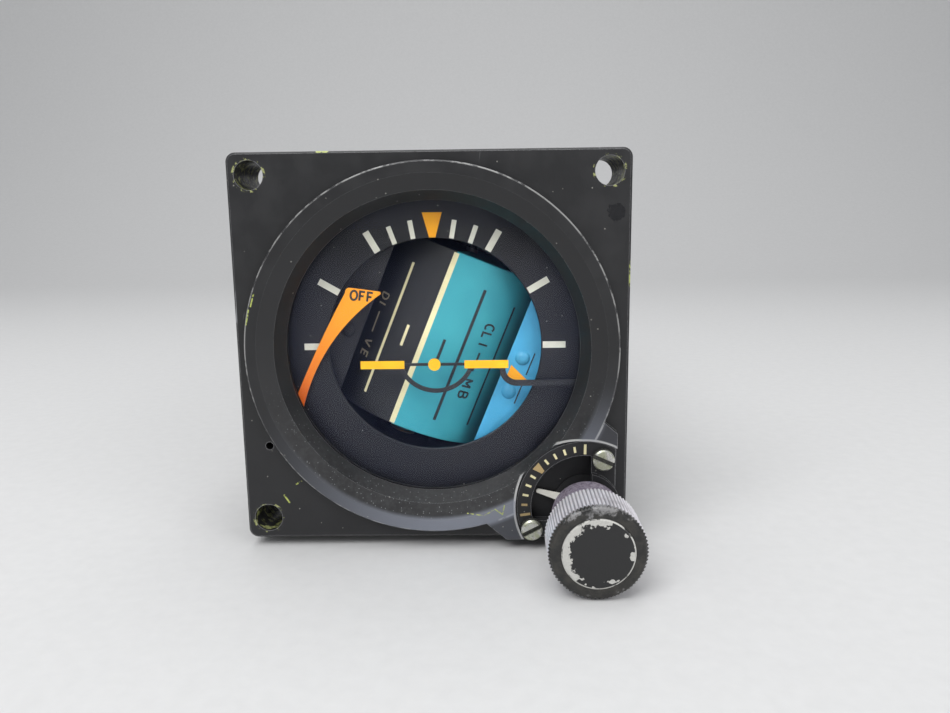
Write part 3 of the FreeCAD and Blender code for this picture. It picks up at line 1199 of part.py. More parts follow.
def make_rotor():
    """Gyro rotor with a heavy rim and a thin web on its spin shaft."""
    at = V(0, GYRO_Y, 0)
    r = ROTOR_R
    h = ROTOR_HALF
    rim = r - ROTOR_RIM
    web = ROTOR_WEB / 2
    rotor = turned([(SPIN_SHAFT_R, -h + 2), (SPIN_SHAFT_R + 3, -h + 2),
                    (SPIN_SHAFT_R + 4, -web), (rim - 1, -web), (rim, -h), (r - 0.6, -h),
                    (r, -h + 0.6), (r, h - 0.6), (r - 0.6, h), (rim, h), (rim - 1, web),
                    (SPIN_SHAFT_R + 4, web), (SPIN_SHAFT_R + 3, h - 2),
                    (SPIN_SHAFT_R, h - 2)], AXIS_Z, at)
    end = BELL_TOP - 2.0
    shaft = Part.makeCylinder(SPIN_SHAFT_R, 2 * end, V(0, GYRO_Y, -end), AXIS_Z)
    return {"gyro_rotor": tilted(fuse([rotor, shaft]))}


# ================================================================ cage rod
def cage_rod_place():
    """Where the cage rod runs along the case."""
    ux, uz = cage_direction()
    return CAGE_ROD_AT * ux, CAGE_ROD_AT * uz


def make_cage_rod():
    """Cage rod with its fork round the knob's shaft and its finger at the rear."""
    x, z = cage_rod_place()
    knob_at = math.hypot(KNOB_X, KNOB_Z)
    width = CAGE_SLOT - 2 * SIDE_GAP
    fork = cage_slot_shape(FORK_Y, FORK_Y + FORK_THICK, width, CAGE_ROD_AT - 1.6,
                           knob_at + 1.5)
    notch = cage_slot_shape(FORK_Y - 1, FORK_Y + 2, 2 * (KNOB_SHAFT_R + RUN_FIT),
                            knob_at, knob_at + 9)
    fork = fork.cut(notch).cut(at_knob(rod_y(KNOB_SHAFT_R + RUN_FIT, FORK_Y - 1, FORK_Y + 2)))
    rod = rod_y(CAGE_ROD_R, FORK_Y, CAGE_ROD_END, x, z)
    finger = cage_slot_shape(CAGE_ROD_END - FINGER_THICK, CAGE_ROD_END, 3.0,
                             CAGE_ROD_AT - FINGER_LENGTH, CAGE_ROD_AT + 1.4)
    guide = cage_slot_shape(GUIDE_Y, GUIDE_Y + GUIDE_LENGTH, GUIDE_WIDTH,
                            CAGE_ROD_AT - 2.4, CASE_R)
    guide = guide.common(rod_y(CASE_BORE - SEAT_FIT, GUIDE_Y - 1, GUIDE_Y + 9))
    guide = guide.cut(rod_y(CAGE_ROD_R + RUN_FIT, GUIDE_Y - 1, GUIDE_Y + 9, x, z))
    holes = screw_shapes(case_screw_sets()["rod_guide"], RUN_FIT)
    guide = guide.cut(Part.makeCompound(holes))
    return {"cage_rod": fuse([fork, rod, finger]), "cage_rod_guide": guide}


# ================================================================ build
def display_nodes():
    """Every piece that turns with the display, drawn level."""
    nodes = {"roll_frame": make_roll_frame()}
    for group in (make_plates(), make_roll_shaft(), make_pivots(), make_drum(),
                  make_idlers(), make_gyro_housing(), make_rotor()):
        nodes.update(group)
    return nodes


def all_nodes():
    """Every node of the instrument in its stored pose."""
    nodes = {"bezel": make_bezel(), "knob_bush": make_knob_bush(), "case_tube": make_case(),
             "front_support_ring": make_support_ring(), "rear_bulkhead": make_bulkhead(),
             "symbol_rack": make_rack()}
    for group in (make_window(), make_bank_scale(), make_dial(), make_trim_sleeve(),
                  make_knob(), make_gear_cover(), make_symbol(), make_flag(),
                  make_case_screws(), make_rear_cover(), make_connector(),
                  make_electrics(), make_brush_block(), make_cage_rod()):
        nodes.update(group)
    bearing = make_roll_bearing()
    nodes["rear_bearing_outer"] = bearing["rear_bearing_outer"]
    nodes["rear_bearing_inner"] = rolled(bearing["rear_bearing_inner"])
    for name, shape in display_nodes().items():
        nodes[name] = rolled(shape)
    return nodes


def main():
    """Write one STEP file for each node."""
    os.makedirs("parts", exist_ok=True)
    nodes = all_nodes()
    for name, shape in nodes.items():
        shape.exportStep(os.path.join("parts", name + ".step"))
    print(len(nodes), "nodes written")


main()
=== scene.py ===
"""Looks of the panel attitude indicator: paint, printed marks, knurled knob, glass and wear.

All lengths are in metres in the CAD frame: +X right, +Y into the instrument, +Z up.
"""
import json
import math

import bmesh
import bpy
import numpy as np
from mathutils import Matrix, Vector


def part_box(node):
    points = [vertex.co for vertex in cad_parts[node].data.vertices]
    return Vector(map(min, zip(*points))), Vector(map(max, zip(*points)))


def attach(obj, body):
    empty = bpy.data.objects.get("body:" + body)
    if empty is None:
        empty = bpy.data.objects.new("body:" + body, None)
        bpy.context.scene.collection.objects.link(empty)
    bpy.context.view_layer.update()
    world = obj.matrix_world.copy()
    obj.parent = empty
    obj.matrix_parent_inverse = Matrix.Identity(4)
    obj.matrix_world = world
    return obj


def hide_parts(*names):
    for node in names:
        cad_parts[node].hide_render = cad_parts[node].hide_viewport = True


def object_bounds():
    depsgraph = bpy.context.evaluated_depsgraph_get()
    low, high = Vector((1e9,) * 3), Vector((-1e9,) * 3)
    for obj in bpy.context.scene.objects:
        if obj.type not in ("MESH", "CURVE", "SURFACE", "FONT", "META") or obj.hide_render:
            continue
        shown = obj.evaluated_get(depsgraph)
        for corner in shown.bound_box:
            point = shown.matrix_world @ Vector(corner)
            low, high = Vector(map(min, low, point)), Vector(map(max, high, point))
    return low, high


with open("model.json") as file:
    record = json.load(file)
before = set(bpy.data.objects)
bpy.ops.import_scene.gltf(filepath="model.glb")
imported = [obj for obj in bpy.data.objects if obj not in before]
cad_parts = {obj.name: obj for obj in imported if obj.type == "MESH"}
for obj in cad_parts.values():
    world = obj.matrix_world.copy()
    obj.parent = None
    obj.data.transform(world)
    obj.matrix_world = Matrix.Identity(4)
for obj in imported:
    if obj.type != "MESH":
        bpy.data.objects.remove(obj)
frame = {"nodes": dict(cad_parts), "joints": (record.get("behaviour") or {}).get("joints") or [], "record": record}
cad_box = [list(corner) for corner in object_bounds()]

MM = 0.001
INK = 0.03 * MM              # thickness of printed marks
JOINTS = {joint["name"]: joint for joint in frame["joints"]}


# ------------------------------------------------------------------ places from the frame
def limits(node):
    """Lowest and highest corner of a CAD node as numpy arrays."""
    low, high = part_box(node)
    return np.array(low), np.array(high)


BEZEL_HIGH = limits("bezel")[1]
KNOB_LOW, KNOB_HIGH = limits("knob")
KNOB_R = (KNOB_HIGH[0] - KNOB_LOW[0]) / 2
CAP_R = (limits("knob_cap")[1] - limits("knob_cap")[0])[0] / 2
DIAL_LOW = limits("trim_dial")[0]
DRUM_LOW, DRUM_HIGH = limits("horizon_drum")
SKY_LOW = limits("sky_plate")[0]
SCALE_FACE = limits("bank_scale")[0][1]
FLAG_FACE = limits("off_flag")[0][1]
KNOB_AXIS = np.array(JOINTS["trim_turn"]["pos_m"])
DRUM_AXIS = np.array(JOINTS["drum_turn"]["pos_m"])
DRUM_R = (DRUM_HIGH[1] - DRUM_LOW[1]) / 2
ACROSS = np.array(JOINTS["drum_turn"]["axis"])          # the display's own left to right
ALOFT = np.array([-ACROSS[2], 0.0, ACROSS[0]])          # the display's own up
INWARD = np.array([0.0, 1.0, 0.0])
RIGHT = np.array([1.0, 0.0, 0.0])
UP = np.array([0.0, 0.0, 1.0])
COLLAR_HEIGHT = 1.45 * MM                               # collar in front of the dial plate
DIAL_FACE = DIAL_LOW[1] + COLLAR_HEIGHT
DIAL_RIM_R = 15.0 * MM                                  # just outside the dial plate's recess
KNOB_NECK_Y = KNOB_LOW[1] + 10.2 * MM                   # where the knob's head meets its hub
HOLE_MARGIN = 4.6 * MM                                  # screw holes from the flange's sides
HOLE_AT = BEZEL_HIGH[0] - HOLE_MARGIN
HORIZON_DEG = -7.55                                     # where the horizon line stands on the drum


# ------------------------------------------------------------------ meshes
def mesh_piece(name, points, faces, material, body):
    """A finished piece from arrays of points and faces, at the origin and facing outwards."""
    mesh = bpy.data.meshes.new(name)
    mesh.from_pydata(points.reshape(-1, 3).tolist(), [], faces.tolist())
    shell = bmesh.new()
    shell.from_mesh(mesh)
    bmesh.ops.remove_doubles(shell, verts=shell.verts, dist=1e-7)
    bmesh.ops.recalc_face_normals(shell, faces=shell.faces)
    shell.to_mesh(mesh)
    shell.free()
    mesh.polygons.foreach_set("use_smooth", [False] * len(mesh.polygons))
    piece = bpy.data.objects.new(name, mesh)
    bpy.context.scene.collection.objects.link(piece)
    mesh.materials.append(material)
    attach(piece, body)
    return piece


def grid_faces(rows, columns, close_rows=False, close_columns=False):
    """Quads of a grid of points, wrapped round in one or both directions."""
    i = np.arange(rows if close_rows else rows - 1)
    j = np.arange(columns if close_columns else columns - 1)
    i, j = (part.ravel() for part in np.meshgrid(i, j, indexing="ij"))
    i2 = (i + 1) % rows
    j2 = (j + 1) % columns
    return np.stack([i * columns + j, i * columns + j2, i2 * columns + j2, i2 * columns + j], 1)


def stroke_mesh(points, widths, place, thickness=INK):
    """A printed line as a thin closed slab.

    Each point is offset to both sides along the mitre of its two neighbours by half the
    width there; the four corners at each point form one row of a grid closed round.
    """
    points = np.asarray(points, float) * MM
    widths = np.broadcast_to(np.asarray(widths, float) * MM, len(points))
    steps = np.diff(points, axis=0)
    steps /= np.linalg.norm(steps, axis=1)[:, None]
    before = np.vstack([steps[:1], steps])
    after = np.vstack([steps, steps[-1:]])
    along = before + after
    along /= np.linalg.norm(along, axis=1)[:, None]
    side = np.stack([-along[:, 1], along[:, 0]], 1)
    reach = widths / 2 / np.clip((along * before).sum(1), 0.5, 1)
    left = points + side * reach[:, None]
    right = points - side * reach[:, None]
    rows = []
    for edge, height in ((left, thickness), (right, thickness), (right, 0.0), (left, 0.0)):
        rows.append(place(edge[:, 0], edge[:, 1], height))
    corners = np.stack(rows, 1)
    count = len(points)
    faces = grid_faces(count, 4, close_columns=True)
    last = 4 * (count - 1)
    caps = np.array([[0, 1, 2, 3], [last + 3, last + 2, last + 1, last]])
    return corners.reshape(-1, 3), np.vstack([faces, caps])


def printed(name, strokes, place, material, body, thickness=INK):
    """One piece out of many printed strokes, each given as (points, widths) in millimetres."""
    points, faces, start = [], [], 0
    for path, widths in strokes:
        corners, quads = stroke_mesh(path, widths, place, thickness)
        points.append(corners)
        faces.append(quads + start)
        start += len(corners)
    return mesh_piece(name, np.vstack(points), np.vstack(faces), material, body)


def flat_place(origin, right, up, outward):
    """Maps (u, v, height) onto a plane: origin + u right + v up + height outward."""
    def place(u, v, height):
        return (origin + u[:, None] * right + v[:, None] * up
                + np.asarray(height) * outward)
    return place


def drum_place(u, v, height):
    """Maps (u, v, height) onto the drum: u along its axle, v as arc length over the top."""
    angle = v / DRUM_R
    radius = DRUM_R + height
    return (DRUM_AXIS + u[:, None] * ACROSS
            + (radius * np.sin(angle))[:, None] * ALOFT
            - (radius * np.cos(angle))[:, None] * INWARD)


def arc(centre, radii, start, end, count=9):
    """Points of an ellipse's arc between two angles in degrees."""
    angle = np.radians(np.linspace(start, end, count))
    return np.stack([centre[0] + radii[0] * np.cos(angle),
                     centre[1] + radii[1] * np.sin(angle)], 1)


def letter_strokes(letter):
    """Strokes of a plain capital, one unit high, with its lower left corner at zero."""
    line = np.array
    shapes = {
        "C": [arc((0.34, 0.5), (0.34, 0.5), 48, 312, 15)],
        "L": [line([(0, 1), (0, 0), (0.5, 0)])],
        "I": [line([(0, 1), (0, 0)])],
        "M": [line([(0, 0), (0, 1)]), line([(0, 1), (0.36, 0.3)]),
              line([(0.36, 0.3), (0.72, 1)]), line([(0.72, 1), (0.72, 0)])],
        "B": [line([(0, 0), (0, 1)]),
              np.vstack([[(0, 1)], arc((0.3, 0.76), (0.26, 0.24), 90, -90), [(0, 0.52)]]),
              np.vstack([[(0, 0.52)], arc((0.32, 0.26), (0.3, 0.26), 90, -90), [(0, 0)]])],
        "D": [line([(0, 0), (0, 1)]),
              np.vstack([[(0, 1)], arc((0.22, 0.5), (0.4, 0.5), 90, -90, 13), [(0, 0)]])],
        "V": [line([(0, 1), (0.34, 0)]), line([(0.34, 0), (0.68, 1)])],
        "E": [line([(0.52, 1), (0, 1), (0, 0), (0.52, 0)]), line([(0, 0.53), (0.44, 0.53)])],
        "O": [arc((0.36, 0.5), (0.36, 0.5), 0, 180, 13),
              arc((0.36, 0.5), (0.36, 0.5), 180, 360, 13)],
        "F": [line([(0, 0), (0, 1), (0.54, 1)]), line([(0, 0.52), (0.44, 0.52)])],
    }
    return shapes[letter]


def lettering(letters, height, width, slant=0.0):
    """Strokes of letters given as (letter, centre u, centre v), turned by a slant in degrees."""
    turn = np.radians(slant)
    matrix = np.array([[math.cos(turn), math.sin(turn)], [-math.sin(turn), math.cos(turn)]])
    strokes = []
    for letter, u, v in letters:
        shapes = letter_strokes(letter)
        middle = np.vstack(shapes)
        centre = (middle.min(0) + middle.max(0)) / 2
        for shape in shapes:
            strokes.append(((shape - centre) * height @ matrix + (u, v), width))
    return strokes


# ------------------------------------------------------------------ shader helpers
def srgb(red, green, blue):
    """A linear colour from 0..255 display values."""
    channels = np.array([red, green, blue]) / 255
    linear = np.where(channels <= 0.04045, channels / 12.92, ((channels + 0.055) / 1.055) ** 2.4)
    return (*[float(c) for c in linear], 1.0)


class Shader:
    """Adds nodes to one node tree; a value may be a number, a colour or another socket."""

    def __init__(self, tree):
        self.tree = tree

    def add(self, kind, values=None, **settings):
        node = self.tree.nodes.new(kind)
        for name, value in settings.items():
            setattr(node, name, value)
        for name, value in (values or {}).items():
            if isinstance(value, bpy.types.NodeSocket):
                self.tree.links.new(value, node.inputs[name])
            else:
                node.inputs[name].default_value = value
        return node

    def math(self, operation, first, second=0.0, clamp=False):
        node = self.add("ShaderNodeMath", {0: first, 1: second}, operation=operation)
        node.use_clamp = clamp
        return node.outputs[0]

    def vector(self, operation, first, second=(0, 0, 0)):
        node = self.add("ShaderNodeVectorMath", {0: first, 1: second}, operation=operation)
        return node.outputs["Value" if operation in ("DOT_PRODUCT", "LENGTH") else "Vector"]

    def ramp(self, value, low, high, out_low=0.0, out_high=1.0):
        """Smooth step of a value between two limits."""
        node = self.add("ShaderNodeMapRange", {"Value": value, "From Min": low, "From Max": high,
                                               "To Min": out_low, "To Max": out_high})
        node.interpolation_type = "SMOOTHSTEP"
        return node.outputs["Result"]

    def mix(self, factor, first, second):
        node = self.add("ShaderNodeMix", {"Factor": factor}, data_type="RGBA")
        for index, value in ((6, first), (7, second)):
            if isinstance(value, bpy.types.NodeSocket):
                self.tree.links.new(value, node.inputs[index])
            else:
                node.inputs[index].default_value = value
        return node.outputs[2]

    def noise(self, vector, scale, detail=3.0, roughness=0.55):
        node = self.add("ShaderNodeTexNoise", {"Vector": vector, "Scale": scale,
                                               "Detail": detail, "Roughness": roughness})
        return node.outputs[0]

    def place(self):
        return self.add("ShaderNodeTexCoord").outputs["Object"]

    def xyz(self, vector):
        return self.add("ShaderNodeSeparateXYZ", {0: vector}).outputs

    def flat(self, vector):
        """A vector laid into the front plane: its depth set to 0."""
        x, _, z = self.xyz(vector)
        return self.add("ShaderNodeCombineXYZ", {0: x, 1: 0.0, 2: z}).outputs[0]

    def bump(self, height, strength, distance):
        node = self.add("ShaderNodeBump", {"Height": height, "Strength": strength,
                                           "Distance": distance})
        return node.outputs["Normal"]

    def use(self, group, values):
        node = self.add("ShaderNodeGroup", node_tree=group)
        for name, value in values.items():
            if isinstance(value, bpy.types.NodeSocket):
                self.tree.links.new(value, node.inputs[name])
            else:
                node.inputs[name].default_value = value
        return node.outputs


def new_group(name, inputs, outputs):
    """An empty shader group with named inputs (name, socket type, value) and outputs."""
    group = bpy.data.node_groups.new(name, "ShaderNodeTree")
    for label, kind, value in inputs:
        socket = group.interface.new_socket(label, in_out="INPUT", socket_type=kind)
        if value is not None:
            socket.default_value = value
    for label, kind in outputs:
        group.interface.new_socket(label, in_out="OUTPUT", socket_type=kind)
    shader = Shader(group)
    entry = shader.add("NodeGroupInput").outputs
    leave = shader.add("NodeGroupOutput").inputs
    return group, shader, entry, leave


def make_edge_wear():
    """Mask that is 1 on outer edges: where the rounded normal leaves the face's own, broken
    up by noise."""
    group, shader, entry, leave = new_group(
        "edge wear", [("Vector", "NodeSocketVector", None), ("Width", "NodeSocketFloat", 0.0003),
                      ("Scale", "NodeSocketFloat", 900.0), ("Amount", "NodeSocketFloat", 0.5)],
        [("Mask", "NodeSocketFloat")])
    rounded = shader.add("ShaderNodeBevel", {"Radius": entry["Width"]}, samples=6).outputs[0]
    flat = shader.add("ShaderNodeNewGeometry").outputs["Normal"]
    turn = shader.math("SUBTRACT", 1.0, shader.vector("DOT_PRODUCT", rounded, flat))
    edge = shader.ramp(turn, 0.01, 0.12)
    broken = shader.noise(entry["Vector"], entry["Scale"], 5.0, 0.65)
    level = shader.math("SUBTRACT", 1.0, entry["Amount"])
    torn = shader.ramp(broken, shader.math("MULTIPLY", level, 0.9),
                       shader.math("ADD", shader.math("MULTIPLY", level, 0.9), 0.08))
    shader.tree.links.new(shader.math("MULTIPLY", edge, torn), leave["Mask"])
    return group


def make_paint_grain():
    """Fine orange-peel height and a slow blotch mask for sprayed paint."""
    group, shader, entry, leave = new_group(
        "paint grain", [("Vector", "NodeSocketVector", None), ("Scale", "NodeSocketFloat", 2500.0)],
        [("Height", "NodeSocketFloat"), ("Blotch", "NodeSocketFloat")])
    fine = shader.noise(entry["Vector"], entry["Scale"], 4.0, 0.6)
    slow = shader.noise(entry["Vector"], shader.math("MULTIPLY", entry["Scale"], 0.04), 4.0, 0.6)
    shader.tree.links.new(fine, leave["Height"])
    shader.tree.links.new(shader.ramp(slow, 0.35, 0.7), leave["Blotch"])
    return group


def make_dust():
    """Scattered pale specks: cells of a Voronoi pattern, most of them left empty by chance."""
    group, shader, entry, leave = new_group(
        "dust specks", [("Vector", "NodeSocketVector", None), ("Scale", "NodeSocketFloat", 900.0),
                        ("Share", "NodeSocketFloat", 0.1), ("Size", "NodeSocketFloat", 0.25)],
        [("Mask", "NodeSocketFloat")])
    cells = shader.add("ShaderNodeTexVoronoi", {"Vector": entry["Vector"],
                                                "Scale": entry["Scale"]})
    chance = shader.xyz(cells.outputs["Color"])[0]
    kept = shader.math("LESS_THAN", chance, entry["Share"])
    near = shader.math("LESS_THAN", cells.outputs["Distance"], entry["Size"])
    shader.tree.links.new(shader.math("MULTIPLY", kept, near), leave["Mask"])
    return group


def make_scratches():
    """Thin light scratches: the narrow zero crossings of a stretched noise, in few places."""
    group, shader, entry, leave = new_group(
        "scratches", [("Vector", "NodeSocketVector", None), ("Scale", "NodeSocketFloat", 120.0),
                      ("Amount", "NodeSocketFloat", 0.5)],
        [("Mask", "NodeSocketFloat")])
    bent = shader.add("ShaderNodeMapping", {"Vector": entry["Vector"], "Scale": (1.0, 1.0, 0.15),
                                            "Rotation": (0.3, 0.7, 0.2)}).outputs[0]
    wave = shader.noise(bent, entry["Scale"], 2.0, 0.5)
    line = shader.ramp(shader.math("ABSOLUTE", shader.math("SUBTRACT", wave, 0.5)), 0.0, 0.004,
                       1.0, 0.0)
    patch = shader.noise(entry["Vector"], shader.math("MULTIPLY", entry["Scale"], 0.7), 2.0)
    level = shader.math("SUBTRACT", 0.8, shader.math("MULTIPLY", entry["Amount"], 0.3))
    some = shader.ramp(patch, level, shader.math("ADD", level, 0.05))
    shader.tree.links.new(shader.math("MULTIPLY", line, some), leave["Mask"])
    return group


EDGE_WEAR = make_edge_wear()
PAINT_GRAIN = make_paint_grain()
DUST = make_dust()
SCRATCHES = make_scratches()


def new_material(name):
    """An empty material with its Principled shader and its helper."""
    material = bpy.data.materials.new(name)
    material.use_nodes = True
    material.node_tree.nodes.clear()
    shader = Shader(material.node_tree)
    surface = shader.add("ShaderNodeBsdfPrincipled")
    output = shader.add("ShaderNodeOutputMaterial")
    shader.tree.links.new(surface.outputs[0], output.inputs["Surface"])
    return material, shader, surface


def link(shader, surface, **sockets):
    """Link or set sockets of the Principled shader; underscores in names stand for spaces."""
    for name, value in sockets.items():
        socket = surface.inputs[name.replace("_", " ")]
        if isinstance(value, bpy.types.NodeSocket):
            shader.tree.links.new(value, socket)
        else:
            socket.default_value = value


def painted(name, colour, roughness=0.5, wear=0.45, wear_width=0.25 * MM, grain=0.25,
            bare=srgb(150, 150, 152), dust=0.04, blotch=0.2, extra=None):
    """Sprayed paint: grain, blotches, worn edges down to bare metal, and dust."""
    material, shader, surface = new_material(name)
    spot = shader.place()
    paint = shader.use(PAINT_GRAIN, {"Vector": spot, "Scale": 3200.0})
    lighter = tuple(min(1.0, c * (1 + blotch) + 0.01 * blotch) for c in colour[:3]) + (1.0,)
    tone = shader.mix(paint["Blotch"], colour, lighter)
    rough = shader.ramp(paint["Blotch"], 0.0, 1.0, roughness - 0.06, roughness + 0.08)
    if extra:
        tone, rough = extra(shader, spot, tone, rough)
    metallic = 0.0
    if wear:
        worn = shader.use(EDGE_WEAR, {"Vector": spot, "Width": wear_width, "Scale": 1400.0,
                                      "Amount": wear})["Mask"]
        tone = shader.mix(worn, tone, bare)
        metallic = shader.math("MULTIPLY", worn, 0.7)
    if dust:
        specks = shader.use(DUST, {"Vector": spot, "Scale": 1500.0, "Share": dust,
                                   "Size": 0.22})["Mask"]
        tone = shader.mix(shader.math("MULTIPLY", specks, 0.55), tone, srgb(170, 168, 160))
    link(shader, surface, Base_Color=tone, Roughness=rough, Metallic=metallic,
         Normal=shader.bump(paint["Height"], grain, 0.05 * MM))
    return material


def metal(name, colour, roughness=0.32, stretch=(1, 1, 1), grain=0.2, stain=0.25, scale=1800.0):
    """Machined metal: fine tool marks, dull patches and a slight stain."""
    material, shader, surface = new_material(name)
    spot = shader.place()
    marks = shader.add("ShaderNodeMapping", {"Vector": spot, "Scale": stretch}).outputs[0]
    tool = shader.noise(marks, scale, 3.0, 0.6)
    patch = shader.noise(spot, 140.0, 4.0, 0.6)
    dark = tuple(c * 0.55 for c in colour[:3]) + (1.0,)
    tone = shader.mix(shader.math("MULTIPLY", shader.ramp(patch, 0.45, 0.75), stain), colour, dark)
    link(shader, surface, Base_Color=tone, Metallic=1.0,
         Roughness=shader.ramp(patch, 0.3, 0.7, roughness, roughness + 0.18),
         Normal=shader.bump(tool, grain, 0.03 * MM))
    return material


def plastic(name, colour, roughness=0.5, mottle=0.2, scale=900.0):
    """Moulded plastic, rubber or laminate: faint mottling and a fine skin."""
    material, shader, surface = new_material(name)
    spot = shader.place()
    skin = shader.noise(spot, scale * 3, 3.0)
    blotch = shader.noise(spot, scale * 0.2, 4.0)
    lighter = tuple(min(1.0, c * 1.6 + 0.01) for c in colour[:3]) + (1.0,)
    tone = shader.mix(shader.math("MULTIPLY", shader.ramp(blotch, 0.4, 0.8), mottle), colour,
                      lighter)
    link(shader, surface, Base_Color=tone, Normal=shader.bump(skin, 0.2, 0.04 * MM),
         Roughness=shader.ramp(blotch, 0.3, 0.7, roughness - 0.05, roughness + 0.1))
    return material


def window_glass(name):
    """Coated window glass with faint smears: a weak blue reflection, and light passes
    straight through it to the display."""
    material, shader, surface = new_material(name)
    spot = shader.place()
    smear = shader.ramp(shader.noise(spot, 55.0, 5.0, 0.65), 0.42, 0.72)
    link(shader, surface, Base_Color=shader.mix(smear, (1, 1, 1, 1), (0.93, 0.95, 0.98, 1)),
         Roughness=0.0, IOR=1.24, Specular_Tint=(0.4, 0.48, 0.9, 1.0), Transmission_Weight=1.0)
    clear = shader.add("ShaderNodeBsdfTransparent").outputs[0]
    shadow = shader.add("ShaderNodeLightPath").outputs["Is Shadow Ray"]
    mixed = shader.add("ShaderNodeMixShader", {0: shadow, 1: surface.outputs[0], 2: clear})
    output = next(n for n in shader.tree.nodes if n.type == "OUTPUT_MATERIAL")
    shader.tree.links.new(mixed.outputs[0], output.inputs["Surface"])
    return material


# ------------------------------------------------------------------ materials of this object
def circle_mask(shader, spot, centre, radius, width):
    """1 on a circle about a centre in the front face, falling to 0 within its half width."""
    flat = shader.flat(shader.vector("SUBTRACT", spot, centre))
    off = shader.math("ABSOLUTE", shader.math("SUBTRACT", shader.vector("LENGTH", flat), radius))
    return shader.ramp(off, width * 0.4, width, 1.0, 0.0)


def spot_mask(shader, spot, centre, radius, torn=0.0):
    """1 inside a round spot of the front face; torn moves its edge in and out by noise."""
    flat = shader.flat(shader.vector("SUBTRACT", spot, centre))
    ragged = shader.math("SUBTRACT", shader.noise(spot, 1500.0, 4.0, 0.7), 0.5)
    away = shader.math("ADD", shader.vector("LENGTH", flat),
                       shader.math("MULTIPLY", ragged, torn * 6))
    return shader.ramp(away, radius * 0.9, radius * 1.05, 1.0, 0.0)


def scratch_line(shader, spot, start, end, width):
    """1 along a straight scratch in the front face, from its distance to the segment."""
    start = np.array([start[0], 0.0, start[1]]) * MM
    run = np.array([end[0], 0.0, end[1]]) * MM - start
    away = shader.vector("SUBTRACT", shader.flat(spot), tuple(start))
    share = shader.math("MULTIPLY", shader.vector("DOT_PRODUCT", away, tuple(run)),
                        float(1 / (run @ run)), clamp=True)
    along = shader.add("ShaderNodeVectorMath", {0: tuple(run), "Scale": share}, operation="SCALE")
    off = shader.vector("LENGTH", shader.vector("SUBTRACT", away, along.outputs[0]))
    return shader.ramp(off, width * 0.3 * MM, width * 0.6 * MM, 1.0, 0.0)


HOLE_CHIP_R = 3.2 * MM                                  # just outside the screw holes
RING_EDGE_R = 39.3 * MM                                 # outer edge of the raised ring, bright from rubbing and from a painted edge highlight
CONE_EDGE_R = 37.2 * MM                                 # just past the cone's outer edge
LACQUER_AT = (38.4 * MM, 0.0, 28.6 * MM)                # blob of sealing lacquer
# Scratches down to the primer: start, end and width in millimetres in the front face.
PRIMER_SCRATCHES = (((-36.6, 12.8), (-37.4, 10.2), 0.32), ((-37.9, 9.4), (-38.6, 6.4), 0.36),
                    ((-29.3, -28.6), (-30.4, -29.2), 0.36), ((-33.2, -31.8), (-32.2, -33.4), 0.4),
                    ((7.0, -35.4), (10.6, -35.8), 0.26), ((10.6, -35.8), (13.0, -34.4), 0.24),
                    ((13.0, -34.4), (14.6, -35.6), 0.24), ((14.6, -35.6), (15.0, -33.6), 0.22),
                    ((41.5, 18.2), (41.5, 13.6), 0.7), ((-22.6, 41.5), (-20.6, 41.5), 0.7))


def joined(shader, operation, masks):
    """Masks joined one after another by a math operation."""
    total = masks[0]
    for mask in masks[1:]:
        total = shader.math(operation, total, mask)
    return total


def product(shader, *masks):
    """Where all of the masks are: their values multiplied together."""
    return joined(shader, "MULTIPLY", masks)


def either(shader, *masks):
    """Where any of the masks is: the largest of their values."""
    return joined(shader, "MAXIMUM", masks)


